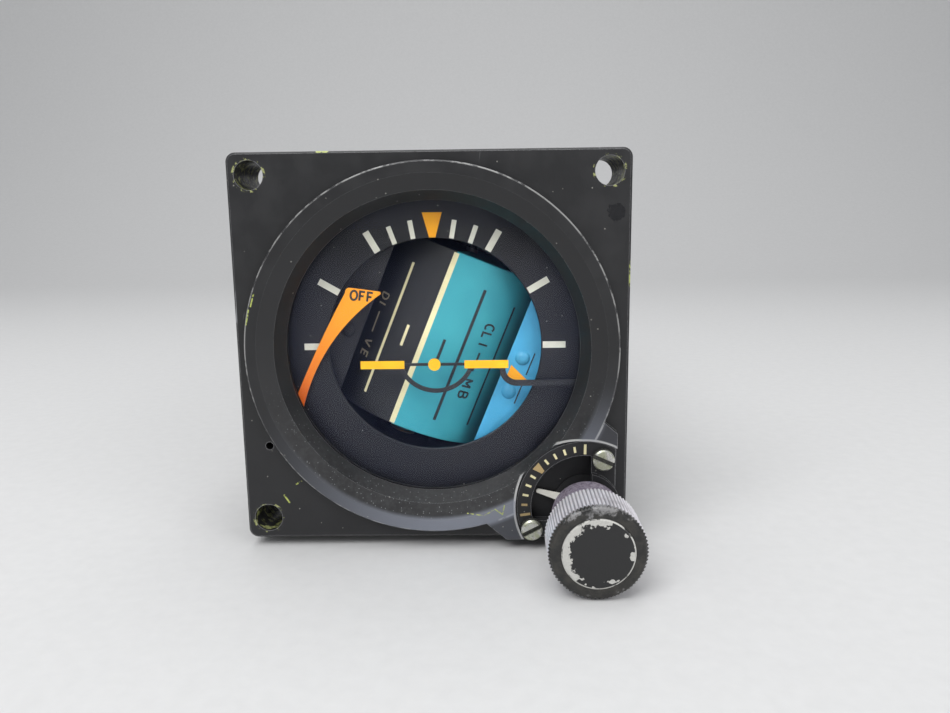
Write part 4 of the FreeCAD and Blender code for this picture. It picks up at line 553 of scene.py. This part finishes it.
def bezel_wear_and_painted_light(shader, spot, tone, rough):
    """What handling did to the front, with painted light: primer chips at the holes, bright circles
    that are partly rubbed paint and partly a painted edge highlight, a painted sheen low on the ring,
    scratches, dust low in the cone and a blob of sealing lacquer near one corner."""
    x, y, z = shader.xyz(spot)
    around = shader.vector("LENGTH", shader.flat(spot))
    holes = ((-HOLE_AT, 0.0, HOLE_AT), (HOLE_AT, 0.0, HOLE_AT), (-HOLE_AT, 0.0, -HOLE_AT))
    chips = either(shader, *[circle_mask(shader, spot, hole, HOLE_CHIP_R, 0.42 * MM)
                             for hole in holes])
    torn = shader.ramp(shader.noise(spot, 620.0, 4.0, 0.7), 0.53, 0.58)
    tone = shader.mix(product(shader, chips, torn), tone, srgb(156, 160, 104))

    # Bright circles at the dial plate's recess and at the raised ring's outer edge: partly rubbed paint, partly a
    # painted edge highlight.
    rubbed = circle_mask(shader, spot, tuple(KNOB_AXIS), DIAL_RIM_R, 0.36 * MM)
    rubbed = product(shader, rubbed, shader.ramp(shader.noise(spot, 480.0, 4.0, 0.7), 0.24, 0.4),
                     shader.ramp(y, 0.0, -0.6 * MM))
    ring_edge_wear_and_highlight = product(shader, circle_mask(shader, spot, (0.0, 0.0, 0.0), RING_EDGE_R, 0.3 * MM),
                   shader.ramp(shader.noise(spot, 260.0, 5.0, 0.7), 0.44, 0.56),
                   shader.ramp(y, -1.5 * MM, -2.1 * MM))
    tone = shader.mix(either(shader, rubbed, product(shader, ring_edge_wear_and_highlight, 0.7)), tone,
                      srgb(168, 168, 166))

    # Painted sheen: a cool bluish light tint on the ring's land and the cone's outer edge, over its lower part and
    # towards the left, standing in for lamp light falling on them.
    painted_sheen = product(shader, shader.ramp(around, 35.8 * MM, CONE_EDGE_R),
                    shader.ramp(around, 40.4 * MM, 39.0 * MM, 0.25, 1.0),
                    shader.ramp(z, -4 * MM, -34 * MM), shader.ramp(x, -44 * MM, 8 * MM),
                    shader.ramp(y, -1.4 * MM, -2.2 * MM))
    tone = shader.mix(shader.math("MULTIPLY", painted_sheen, 0.62), tone, srgb(150, 155, 168))

    inside = product(shader, shader.ramp(around, 31.2 * MM, 32.4 * MM),
                     shader.ramp(around, CONE_EDGE_R, 36.2 * MM), shader.ramp(z, 0.0, -30 * MM))
    dusty = shader.use(DUST, {"Vector": spot, "Scale": 2300.0, "Share": 0.16,
                              "Size": 0.24})["Mask"]
    film = shader.ramp(shader.noise(spot, 900.0, 5.0, 0.7), 0.4, 0.8, 0.0, 0.14)
    tone = shader.mix(product(shader, inside, either(shader, dusty, film), 0.6), tone,
                      srgb(140, 142, 144))

    blob = spot_mask(shader, spot, LACQUER_AT, 1.9 * MM, 0.4 * MM)
    tone = shader.mix(shader.math("MULTIPLY", blob, 0.85), tone, srgb(20, 20, 24))
    rough = shader.math("SUBTRACT", rough, shader.math("MULTIPLY", blob, 0.26))
    scratch = shader.use(SCRATCHES, {"Vector": spot, "Scale": 90.0, "Amount": 0.5})["Mask"]
    tone = shader.mix(scratch, tone, srgb(140, 142, 145))
    cuts = either(shader, *[scratch_line(shader, spot, *cut) for cut in PRIMER_SCRATCHES])
    torn = shader.ramp(shader.noise(spot, 1300.0, 4.0, 0.7), 0.42, 0.5)
    front = shader.ramp(y, 1.6 * MM, 0.9 * MM)
    return shader.mix(product(shader, cuts, torn, front), tone, srgb(176, 186, 96)), rough


def dial_screw_steel(name):
    """Old plated screws: bright worn tops, painted shade deeper in the slots and down the heads, and a
    yellow-green stain.
    """
    material, shader, surface = new_material(name)
    spot = shader.place()
    y = shader.xyz(spot)[1]
    top = limits("trim_dial_screws")[0][1]
    # Painted shade: darker and less metallic the deeper behind the heads' tops, down into the slots.
    painted_slot_shade = shader.ramp(y, top + 0.15 * MM, top + 0.7 * MM)
    patch = shader.ramp(shader.noise(spot, 700.0, 5.0, 0.7), 0.42, 0.6)
    fine = shader.noise(spot, 2400.0, 4.0, 0.65)
    tone = shader.mix(shader.math("MULTIPLY", patch, 0.6), srgb(214, 214, 208),
                      srgb(168, 174, 128))
    tone = shader.mix(shader.math("MULTIPLY", shader.ramp(fine, 0.55, 0.7), 0.5), tone,
                      srgb(70, 70, 62))
    tone = shader.mix(shader.math("MULTIPLY", painted_slot_shade, 0.92), tone, srgb(30, 30, 27))
    link(shader, surface, Base_Color=tone, Roughness=shader.ramp(patch, 0.0, 1.0, 0.26, 0.45),
         Metallic=shader.ramp(painted_slot_shade, 0.0, 1.0, 0.95, 0.1),
         Normal=shader.bump(fine, 0.35, 0.06 * MM))
    return material


def plate_screw_paint(name):
    """Dome screws painted over with their plates: blue on the sky plate, dark on the other."""
    material, shader, surface = new_material(name)
    spot = shader.place()
    sky = shader.math("GREATER_THAN", shader.vector("DOT_PRODUCT", spot, tuple(ALOFT)), 0.0)
    paint = shader.use(PAINT_GRAIN, {"Vector": spot, "Scale": 2600.0})
    blue = shader.mix(paint["Blotch"], SKY_PAINT, srgb(80, 166, 204))
    dark = shader.mix(paint["Blotch"], srgb(15, 15, 17), DARK_PAINT)
    link(shader, surface, Base_Color=shader.mix(sky, dark, blue),
         Roughness=shader.ramp(sky, 0.0, 1.0, 0.75, 0.45),
         Normal=shader.bump(paint["Height"], 0.15, 0.03 * MM))
    return material


def drum_halves(name):
    """Sky and ground halves of the drum, parted along its horizon line by the angle round
    its axle."""
    material, shader, surface = new_material(name)
    spot = shader.place()
    away = shader.vector("SUBTRACT", spot, tuple(DRUM_AXIS))
    height = shader.vector("DOT_PRODUCT", away, tuple(ALOFT))
    front = shader.vector("DOT_PRODUCT", away, tuple(-INWARD))
    angle = shader.math("ARCTAN2", height, front)
    beyond = shader.math("SUBTRACT", angle, math.radians(HORIZON_DEG))
    sky = shader.math("GREATER_THAN", shader.math("SINE", beyond), 0.0)
    paint = shader.use(PAINT_GRAIN, {"Vector": spot, "Scale": 2600.0})
    blue = shader.mix(paint["Blotch"], srgb(50, 152, 167), srgb(58, 162, 175))
    dark = shader.mix(paint["Blotch"], srgb(24, 25, 26), srgb(31, 32, 33))
    link(shader, surface, Base_Color=shader.mix(sky, dark, blue), Roughness=0.6,
         Normal=shader.bump(paint["Height"], 0.15, 0.03 * MM))
    return material


def flag_paint(name):
    """Flag paint that deepens from yellow-orange at its tip to red-orange at its foot."""
    material, shader, surface = new_material(name)
    spot = shader.place()
    z = shader.xyz(spot)[2]
    low, high = limits("off_flag")
    fade = shader.ramp(z, low[2], high[2] * 0.9)
    paint = shader.use(PAINT_GRAIN, {"Vector": spot, "Scale": 2600.0})
    tone = shader.mix(fade, srgb(222, 88, 12), srgb(252, 158, 10))
    tone = shader.mix(shader.math("MULTIPLY", paint["Blotch"], 0.1), tone, srgb(246, 176, 50))
    link(shader, surface, Base_Color=tone, Roughness=0.55,
         Normal=shader.bump(paint["Height"], 0.15, 0.03 * MM))
    return material


def knob_metal(name):
    """Anodised aluminium rubbed bright on its crests, with a worn dark bevel round the face
    and a speckled purple-grey hub."""
    material, shader, surface = new_material(name)
    spot = shader.place()
    away = shader.vector("SUBTRACT", spot, tuple(KNOB_AXIS))
    z = shader.xyz(away)[2]
    radius = shader.vector("LENGTH", shader.flat(away))
    depth = shader.xyz(spot)[1]
    patch = shader.noise(spot, 300.0, 5.0, 0.65)
    fine = shader.noise(spot, 2600.0, 3.0, 0.6)
    crest = shader.ramp(radius, KNOB_R - 0.34 * MM, KNOB_R - 0.1 * MM, 0.25, 1.0)
    rubbed = product(shader, crest, shader.ramp(patch, 0.25, 0.55, 0.65, 1.0))
    upper = shader.ramp(z, 0.0, 8.5 * MM, 0.0, 0.14)
    worn = shader.math("ADD", shader.noise(spot, 150.0, 5.0, 0.72), upper)
    worn = shader.ramp(worn, 0.6, 0.68, 0.04, 0.72)
    bevel = shader.ramp(depth, KNOB_LOW[1] + 1.35 * MM, KNOB_LOW[1] + 0.8 * MM)
    grimy = shader.mix(shader.ramp(shader.noise(spot, 520.0, 5.0, 0.7), 0.35, 0.65),
                       srgb(22, 22, 21), srgb(50, 48, 43))
    face = shader.mix(worn, grimy, srgb(152, 151, 152))
    side = shader.mix(rubbed, srgb(126, 123, 130), srgb(242, 239, 244))
    tone = shader.mix(bevel, side, face)
    hub = shader.ramp(depth, KNOB_NECK_Y - 0.3 * MM, KNOB_NECK_Y + 0.05 * MM)
    speckle = shader.ramp(shader.noise(spot, 1700.0, 4.0, 0.75), 0.38, 0.62)
    purple = shader.mix(speckle, srgb(112, 100, 118), srgb(178, 168, 184))
    tone = shader.mix(shader.math("MULTIPLY", hub, 0.95), tone, purple)
    shine = shader.math("SUBTRACT", 1.0, shader.math("MULTIPLY", bevel, 0.6))
    link(shader, surface, Base_Color=tone, Metallic=shader.math("MULTIPLY", shine, 0.45),
         Roughness=shader.ramp(patch, 0.3, 0.7, 0.36, 0.52),
         Normal=shader.bump(fine, 0.25, 0.04 * MM))
    return material


def cap_paint(name):
    """Black cap whose paint has chipped away to pale metal: in a ragged band round its upper
    left, in single flakes elsewhere, and in a thin line at its rim."""
    material, shader, surface = new_material(name)
    spot = shader.place()
    away = shader.vector("SUBTRACT", spot, tuple(KNOB_AXIS))
    radius = shader.vector("LENGTH", shader.flat(away))
    ragged = shader.math("SUBTRACT", shader.noise(spot, 480.0, 6.0, 0.72), 0.5)
    edge = shader.math("ADD", radius, shader.math("MULTIPLY", ragged, 5.2 * MM))
    band = product(shader, shader.ramp(edge, 5.6 * MM, 5.7 * MM),
                   shader.ramp(radius, 6.85 * MM, 6.75 * MM))
    upper_left = shader.vector("DOT_PRODUCT", away, (-0.85, 0.0, 0.5))
    easily = shader.ramp(upper_left, -2.5 * MM, 3.5 * MM, 0.0, 0.3)
    lost = shader.math("ADD", shader.noise(spot, 300.0, 3.0, 0.6), easily)
    lost = shader.ramp(lost, 0.57, 0.585)
    rim = circle_mask(shader, spot, tuple(KNOB_AXIS), CAP_R - 0.14 * MM, 0.2 * MM)
    rim = product(shader, rim, shader.ramp(shader.noise(spot, 420.0, 4.0, 0.7), 0.36, 0.48))
    chipped = either(shader, product(shader, band, lost), rim)
    fine = shader.noise(spot, 3000.0, 3.0, 0.6)
    bare = shader.mix(fine, srgb(178, 178, 174), srgb(216, 214, 208))
    tone = shader.mix(chipped, srgb(30, 30, 31), bare)
    link(shader, surface, Base_Color=tone, Metallic=shader.math("MULTIPLY", chipped, 0.35),
         Roughness=shader.ramp(chipped, 0.0, 1.0, 0.42, 0.5),
         Normal=shader.bump(shader.math("SUBTRACT", fine, chipped), 0.3, 0.05 * MM))
    return material


BLACK = srgb(26, 26, 28)
SKY_PAINT = srgb(64, 154, 196)
DARK_PAINT = srgb(24, 24, 27)
FINISHES = {
    "black_paint": painted("black paint", BLACK, 0.46, wear=0.6, wear_width=0.25 * MM,
                           dust=0.012, extra=bezel_wear_and_painted_light),
    "case_black": painted("case paint", srgb(36, 36, 38), 0.48, wear=0.4),
    "dial_black": painted("dial black", srgb(14, 14, 18), 0.5, wear=0.0, dust=0.008, grain=0.05),
    "window_glass": window_glass("window glass"),
    "seal_rubber": plastic("seal rubber", srgb(30, 30, 31), 0.75),
    "bare_aluminium": metal("bare aluminium", srgb(205, 206, 210), 0.36, (1, 0.05, 1)),
    "frame_black": painted("frame black", srgb(24, 24, 26), 0.6, wear=0.25),
    "bearing_steel": metal("bearing steel", srgb(190, 190, 194), 0.22, (1, 0.05, 1)),
    "screw_steel": metal("screw steel", srgb(186, 184, 168), 0.36, grain=0.4, stain=0.6),
    "knob_black": knob_metal("knob metal"),
    "pointer_white": painted("white paint", srgb(232, 230, 220), 0.55, wear=0.0, dust=0.0),
    "brass": metal("gear brass", srgb(196, 160, 92), 0.3, (1, 1, 0.1)),
    "horizon_paint": drum_halves("drum paint"),
    "sky_blue_paint": painted("sky plate paint", SKY_PAINT, 0.5, wear=0.0, dust=0.01, grain=0.1),
    "ground_black_paint": painted("ground plate paint", DARK_PAINT, 0.6, wear=0.0, dust=0.01,
                                  grain=0.1),
    "flag_orange": flag_paint("flag paint"),
    "symbol_yellow": painted("symbol yellow", srgb(252, 182, 4), 0.5, wear=0.0, dust=0.0,
                             grain=0.1),
    "symbol_black": painted("symbol black", srgb(32, 32, 34), 0.55, wear=0.0, dust=0.0),
    "steel": metal("ground steel", srgb(170, 170, 176), 0.28, (1, 0.05, 1)),
    "board_green": plastic("board laminate", srgb(38, 92, 60), 0.45),
    "winding": metal("wire winding", srgb(150, 84, 44), 0.38, (0.2, 1, 1), grain=0.8, scale=900.0),
    "capacitor_blue": plastic("capacitor sleeve", srgb(40, 52, 110), 0.3),
    "moulded_black": plastic("moulded black", srgb(34, 34, 36), 0.5),
    "rotor_metal": metal("rotor alloy", srgb(172, 166, 156), 0.24, (0.05, 1, 1)),
    "connector_shell": metal("connector plating", srgb(132, 134, 118), 0.45, (1, 0.1, 1)),
    "contact_gold": metal("contact gold", srgb(222, 184, 104), 0.2),
}
PRINT_WHITE = painted("printed white", srgb(207, 207, 194), 0.6, wear=0.0, dust=0.0)
PRINT_CREAM = painted("printed cream", srgb(220, 212, 168), 0.6, wear=0.0, dust=0.0)
PRINT_DARK = painted("printed dark", srgb(34, 38, 42), 0.6, wear=0.0, dust=0.0)
PRINT_ORANGE = painted("printed orange", srgb(248, 164, 6), 0.55, wear=0.0, dust=0.0)
PRINT_TAN = painted("printed tan", srgb(170, 148, 104), 0.6, wear=0.0, dust=0.0)
PRINT_DULL = painted("printed dull cream", srgb(170, 158, 128), 0.6, wear=0.0, dust=0.0)
OWN_FINISHES = {
    "knob_cap": cap_paint("cap paint"),
    "plate_screws": plate_screw_paint("plate screw paint"),
    "trim_dial": painted("dial plate black", srgb(27, 27, 29), 0.45, wear=0.6,
                         wear_width=0.22 * MM, grain=0.1, dust=0.02),
    "trim_dial_screws": dial_screw_steel("dial screw steel"),
    "drum_gear": painted("gear black", srgb(20, 20, 22), 0.5, wear=0.15),
}


def dress_nodes():
    """Give every CAD node its own finish where it has one, and that of its slot otherwise."""
    slots = {part["node"]: part["material_slot"] for part in frame["record"]["subparts"]}
    for node, piece in frame["nodes"].items():
        piece.data.materials.clear()
        piece.data.materials.append(OWN_FINISHES.get(node, FINISHES[slots[node]]))


# ------------------------------------------------------------------ printed marks
def bank_marks():
    """White bank marks and the orange index on the ring plate: radial strokes at each angle."""
    place = flat_place(INWARD * SCALE_FACE, RIGHT, UP, -INWARD)
    thin, bold = (23.7, 27.7, 1.04), (23.8, 28.8, 1.45)   # inner and outer radius, width
    strokes = []
    for degrees, (inner, outer, width) in ((10, thin), (20, thin), (30, bold), (60, bold),
                                           (90, bold)):
        for side in (-1, 1):
            angle = math.radians(degrees) * side
            ray = np.array([math.sin(angle), math.cos(angle)])
            strokes.append(([ray * inner, ray * outer], width))
    printed("bank_marks", strokes, place, PRINT_WHITE, "case")
    index = [([(0, 23.6), (0, 28.95)], (1.35, 4.3))]
    printed("bank_index", index, place, PRINT_ORANGE, "case")


def drum_marks():
    """Horizon line, climb and dive lines and their words on the drum.

    The lines stand at even steps round the drum; v is the arc length from the drum's front.
    """
    step_deg = 12

    def arc_at(step):
        return math.radians(HORIZON_DEG + step_deg * step) * DRUM_R / MM

    def line(step, start, end, width):
        return [(start, arc_at(step)), (end, arc_at(step))], width

    horizon_end = 20.6
    horizon = [line(0, -horizon_end, horizon_end, 1.2)]
    ground = [line(-1, -1.6, 3.4, 0.65), line(-2, -14.9, 16.9, 0.65)]
    dull = [line(-3, -1.3, 3.7, 0.45)]
    dull += lettering([("D", -5.1, arc_at(-3)), ("I", -3.3, arc_at(-3)),
                       ("V", 6.4, arc_at(-3)), ("E", 9.1, arc_at(-3))], 2.2, 0.4)
    sky = [line(1, -1.7, 3.2, 0.65), line(2, -15.2, 16.7, 0.7), line(3, -1.3, 3.3, 0.5),
           line(4, -13.6, 16.1, 0.5)]
    sky += lettering([("C", -7.5, arc_at(3)), ("L", -5.5, arc_at(3)), ("I", -3.3, arc_at(3)),
                      ("M", 6.3, arc_at(3)), ("B", 9.2, arc_at(3))], 2.3, 0.46)
    printed("horizon_line", horizon, drum_place, PRINT_CREAM, "drum")
    printed("dive_lines", ground, drum_place, PRINT_CREAM, "drum", INK * 1.5)
    printed("dive_word", dull, drum_place, PRINT_DULL, "drum", INK * 1.5)
    printed("climb_lines", sky, drum_place, PRINT_DARK, "drum", INK * 1.5)


def sky_plate_marks():
    """Orange bank pointer and two thin edge lines on the sky plate."""
    place = flat_place(INWARD * SKY_LOW[1], ACROSS, ALOFT, -INWARD)
    lines = [([(-6.1, 21.55), (-0.8, 21.55)], 0.3), ([(1.2, 21.55), (6.3, 21.55)], 0.3)]
    printed("sky_plate_lines", lines, place, PRINT_DARK, "roll_assembly")
    pointer = [([(0.2, 17.6), (0.2, 22.1)], (3.9, 0.05))]
    printed("bank_pointer", pointer, place, PRINT_ORANGE, "roll_assembly",
            INK * 2)


def three_point_arc(first, middle, last, count):
    """Points of the circle's arc through three points, from the first to the last.

    The centre lies at equal distance from all three, which gives two linear equations.
    """
    first, middle, last = (np.array(p, float) for p in (first, middle, last))
    sides = 2 * np.array([middle - first, last - first])
    squares = np.array([middle @ middle - first @ first, last @ last - first @ first])
    centre = np.linalg.solve(sides, squares)
    radius = np.linalg.norm(first - centre)
    start, turn, end = (math.atan2(*(p - centre)[::-1]) for p in (first, middle, last))
    turn, end = (start + (a - start + math.pi) % (2 * math.pi) - math.pi for a in (turn, end))
    angle = np.linspace(start, end, count)
    return centre + radius * np.stack([np.cos(angle), np.sin(angle)], 1)


def flag_blade():
    """Flag blade as a strip between its outer and inner edges, with its hub on the spindle.

    Each row of the strip joins a point of the outer edge to one of the inner edge, front and
    back; the hub is a square profile turned about the pivot.
    """
    pivot = np.array(JOINTS["flag_swing"]["pos_m"])
    low, high = limits("off_flag")
    sheet, pin_r, hub_r = 0.3 * MM, 0.72, 1.6
    front, back = low[1], low[1] + sheet
    shoulder = (11.85, 29.0)
    outer = np.vstack([[(-1.2, 0.0)], three_point_arc((-0.4, 4.8), (4.4, 15.1), shoulder, 30),
                       three_point_arc(shoulder, (12.15, 29.8), (12.8, 30.05), 8)[1:]])
    inner = np.vstack([[(1.0, 0.0)], three_point_arc((1.6, 3.8), (8.8, 18.4), (19.6, 28.6), 36),
                       [(19.5, 29.1)]])
    rows = []
    for edge, depth in ((outer, front), (inner, front), (inner, back), (outer, back)):
        rows.append(pivot * (RIGHT + UP) + edge[:, :1] * MM * RIGHT + edge[:, 1:] * MM * UP
                    + depth * INWARD)
    strip = np.stack(rows, 1).reshape(-1, 3)
    last = len(strip) - 4
    faces = [grid_faces(len(outer), 4, close_columns=True),
             [[0, 1, 2, 3], [last + 3, last + 2, last + 1, last]]]
    turn = np.linspace(0, 2 * np.pi, 40, endpoint=False)
    tube = []
    for radius, depth in ((pin_r, front), (hub_r, front), (hub_r, high[1]), (pin_r, high[1])):
        tube.append(pivot * (RIGHT + UP) + depth * INWARD
                    + radius * MM * (np.cos(turn)[:, None] * RIGHT + np.sin(turn)[:, None] * UP))
    faces.append(grid_faces(4, len(turn), close_rows=True, close_columns=True) + len(strip))
    piece = mesh_piece("flag_blade", np.vstack([strip, np.vstack(tube)]), np.vstack(faces),
                       FINISHES["flag_orange"], "flag")
    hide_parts("off_flag")


def flag_word():
    """The word OFF along the flag's top edge."""
    place = flat_place(INWARD * FLAG_FACE, RIGHT, UP, -INWARD)
    word = lettering([("O", -17.25, 11.4), ("F", -15.45, 11.15), ("F", -13.75, 10.92)], 2.0, 0.46,
                     -8.0)
    printed("off_word", word, place, PRINT_DARK, "flag")


def dial_marks():
    """Ticks of the trim scale on the dial plate: radial strokes about the knob's axis."""
    place = flat_place(INWARD * DIAL_FACE + KNOB_AXIS * (RIGHT + UP), RIGHT, UP, -INWARD)
    middle, step = 138.7, 9.87                          # degrees, anticlockwise from the right
    long_tick, short_tick = (11.7, 13.9, 0.55), (12.2, 13.5, 0.5)
    strokes, faded = [], []
    for number in range(-5, 6):
        if number == 0:
            continue
        angle = math.radians(middle + number * step)
        ray = np.array([math.cos(angle), math.sin(angle)])
        inner, outer, width = long_tick if abs(number) == 5 else short_tick
        (faded if number > 3 else strokes).append(([ray * inner, ray * outer], width))
    printed("trim_scale_faded", faded, place, PRINT_TAN, "case")
    printed("trim_scale_marks", strokes, place, PRINT_CREAM, "case")
    ray = np.array([math.cos(math.radians(middle)), math.sin(math.radians(middle))])
    index = [([ray * long_tick[0], ray * long_tick[1]], (0.8, 1.9))]
    printed("trim_scale_index", index, place, PRINT_TAN, "case")


# ------------------------------------------------------------------ knob
def knurled_knob():
    """Knob turned about its axis, with straight knurling over its head.

    The radius at each angle is the profile's own less a share of the knurl's depth, which
    goes up and down once per tooth; the share is full on the head and nothing elsewhere.
    """
    face = KNOB_LOW[1] / MM
    hub_end = KNOB_HIGH[1] / MM
    head_r = KNOB_R / MM
    neck = KNOB_NECK_Y / MM
    hub_r, skirt_r = 7.35, 5.4
    skirt_y = -6.0                                      # where the hub steps in to its skirt
    bore = 1.5
    cap_r = 7.05                                        # recess that the cap sits in
    profile = [(bore, face + 0.9, 0), (cap_r, face + 0.9, 0), (cap_r, face + 0.05, 0),
               (cap_r + 0.05, face, 0), (8.55, face, 0), (8.85, face + 0.08, 0),
               (9.1, face + 0.35, 0.15), (9.3, face + 0.62, 0.6), (head_r, face + 0.9, 1)]
    profile += [(head_r, y, 1) for y in np.linspace(face + 1.2, neck - 0.9, 8)]
    profile += [(head_r, neck - 0.6, 1), (head_r - 0.12, neck - 0.3, 0.7),
                (head_r - 0.5, neck - 0.04, 0.2), (head_r - 0.8, neck, 0), (hub_r + 0.15, neck, 0),
                (hub_r, neck + 0.15, 0)]
    profile += [(hub_r, y, 0) for y in np.linspace(neck + 1, hub_end - 4.2, 4)]
    profile += [(hub_r, skirt_y - 0.4, 0), (hub_r - 0.12, skirt_y - 0.12, 0),
                (hub_r - 0.4, skirt_y, 0), (skirt_r, skirt_y, 0), (skirt_r, hub_end, 0),
                (bore, hub_end, 0)]
    profile = np.array(profile)
    teeth, per_tooth = 78, 6
    turn = np.arange(teeth * per_tooth) / (teeth * per_tooth)
    wave = np.abs(((turn * teeth) % 1) * 2 - 1)
    wave = np.clip(wave * 1.25 - 0.1, 0, 1)
    depth = 0.38
    radius = profile[:, :1] - profile[:, 2:] * depth * (1 - wave)[None, :]
    angle = turn * 2 * np.pi
    x = KNOB_AXIS[0] + radius * MM * np.cos(angle)
    z = KNOB_AXIS[2] + radius * MM * np.sin(angle)
    y = np.broadcast_to(profile[:, 1:2] * MM, x.shape)
    points = np.stack([x, y, z], 2)
    faces = grid_faces(len(profile), len(turn), close_rows=True, close_columns=True)
    piece = mesh_piece("knurled_knob", points, faces, FINISHES["knob_black"], "pull_knob")
    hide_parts("knob")


# ------------------------------------------------------------------ stage
def make_stage():
    """Pale floor that sweeps up into a pale backdrop, both plain."""
    low = cad_box[0][2]
    run = np.linspace(0, 1, 40)
    front, length, bend, height, half_width = -3.0, 3.6, 0.5, 1.6, 6.0
    flat_share, bend_share = 0.45, 0.3                  # shares of the sheet's points
    wall_from = flat_share + bend_share
    angle = np.clip((run - flat_share) / bend_share, 0, 1) * math.pi / 2
    y = np.where(run < flat_share, front + run / flat_share * length,
                 front + length + bend * np.sin(angle))
    z = low + np.where(run < flat_share, 0, bend * (1 - np.cos(angle))
                       + np.clip((run - wall_from) / (1 - wall_from), 0, 1) * height)
    x = np.array([-half_width, half_width])
    points = np.stack(np.broadcast_arrays(x[None, :], y[:, None], z[:, None]), 2)
    mesh = bpy.data.meshes.new("floor")
    mesh.from_pydata(points.reshape(-1, 3).tolist(), [], grid_faces(len(run), 2).tolist())
    mesh.polygons.foreach_set("use_smooth", [True] * len(mesh.polygons))
    floor = bpy.data.objects.new("floor", mesh)
    bpy.context.scene.collection.objects.link(floor)
    material, shader, surface = new_material("floor card")
    spot = shader.place()
    grain = shader.noise(spot, 300.0, 3.0)
    link(shader, surface, Base_Color=shader.mix(grain, (0.6, 0.6, 0.6, 1), (0.66, 0.66, 0.66, 1)),
         Roughness=0.9)
    mesh.materials.append(material)


def make_light():
    """Large soft lamps above and to the sides, and an even pale world."""
    world = bpy.data.worlds.new("studio")
    bpy.context.scene.world = world
    world.use_nodes = True
    background = world.node_tree.nodes["Background"]
    background.inputs["Color"].default_value = (0.9, 0.92, 0.95, 1)
    background.inputs["Strength"].default_value = 0.42
    lamps = (("key", (-0.35, -0.55, 0.75), 6.0, 0.6),   # name, place, watts, side
             ("fill", (0.6, -0.6, 0.35), 2.6, 0.6),
             ("top", (0.0, 0.15, 0.9), 4.4, 0.8))
    for name, place, power, size in lamps:
        lamp = bpy.data.lights.new(name, "AREA")
        lamp.energy = power
        lamp.size = size
        holder = bpy.data.objects.new(name, lamp)
        holder.location = place
        holder.rotation_euler = (-Vector(place)).to_track_quat("-Z", "Y").to_euler()
        bpy.context.scene.collection.objects.link(holder)


def make_camera():
    """Camera in front of the dial, a little right of and above its axis."""
    camera = bpy.data.cameras.new("camera")
    camera.sensor_width = 36.0
    camera.lens = 30.68
    camera.clip_start = 0.005
    camera.clip_end = 20.0
    holder = bpy.data.objects.new("camera", camera)
    place = Vector((0.01252, -0.16856, 0.02960))
    right = Vector((0.9997, 0.0184, -0.0127))
    up = Vector((0.0092, 0.1799, 0.9836))
    back = Vector((0.0204, -0.9835, 0.1797))
    turn = Matrix((right, up, back)).transposed().to_4x4()
    holder.matrix_world = Matrix.Translation(place) @ turn
    bpy.context.scene.collection.objects.link(holder)
    bpy.context.scene.camera = holder


make_camera()
make_light()
make_stage()
dress_nodes()
bank_marks()
drum_marks()
sky_plate_marks()
flag_blade()
flag_word()
dial_marks()
knurled_knob()

bpy.context.scene.view_settings.view_transform = "Standard"
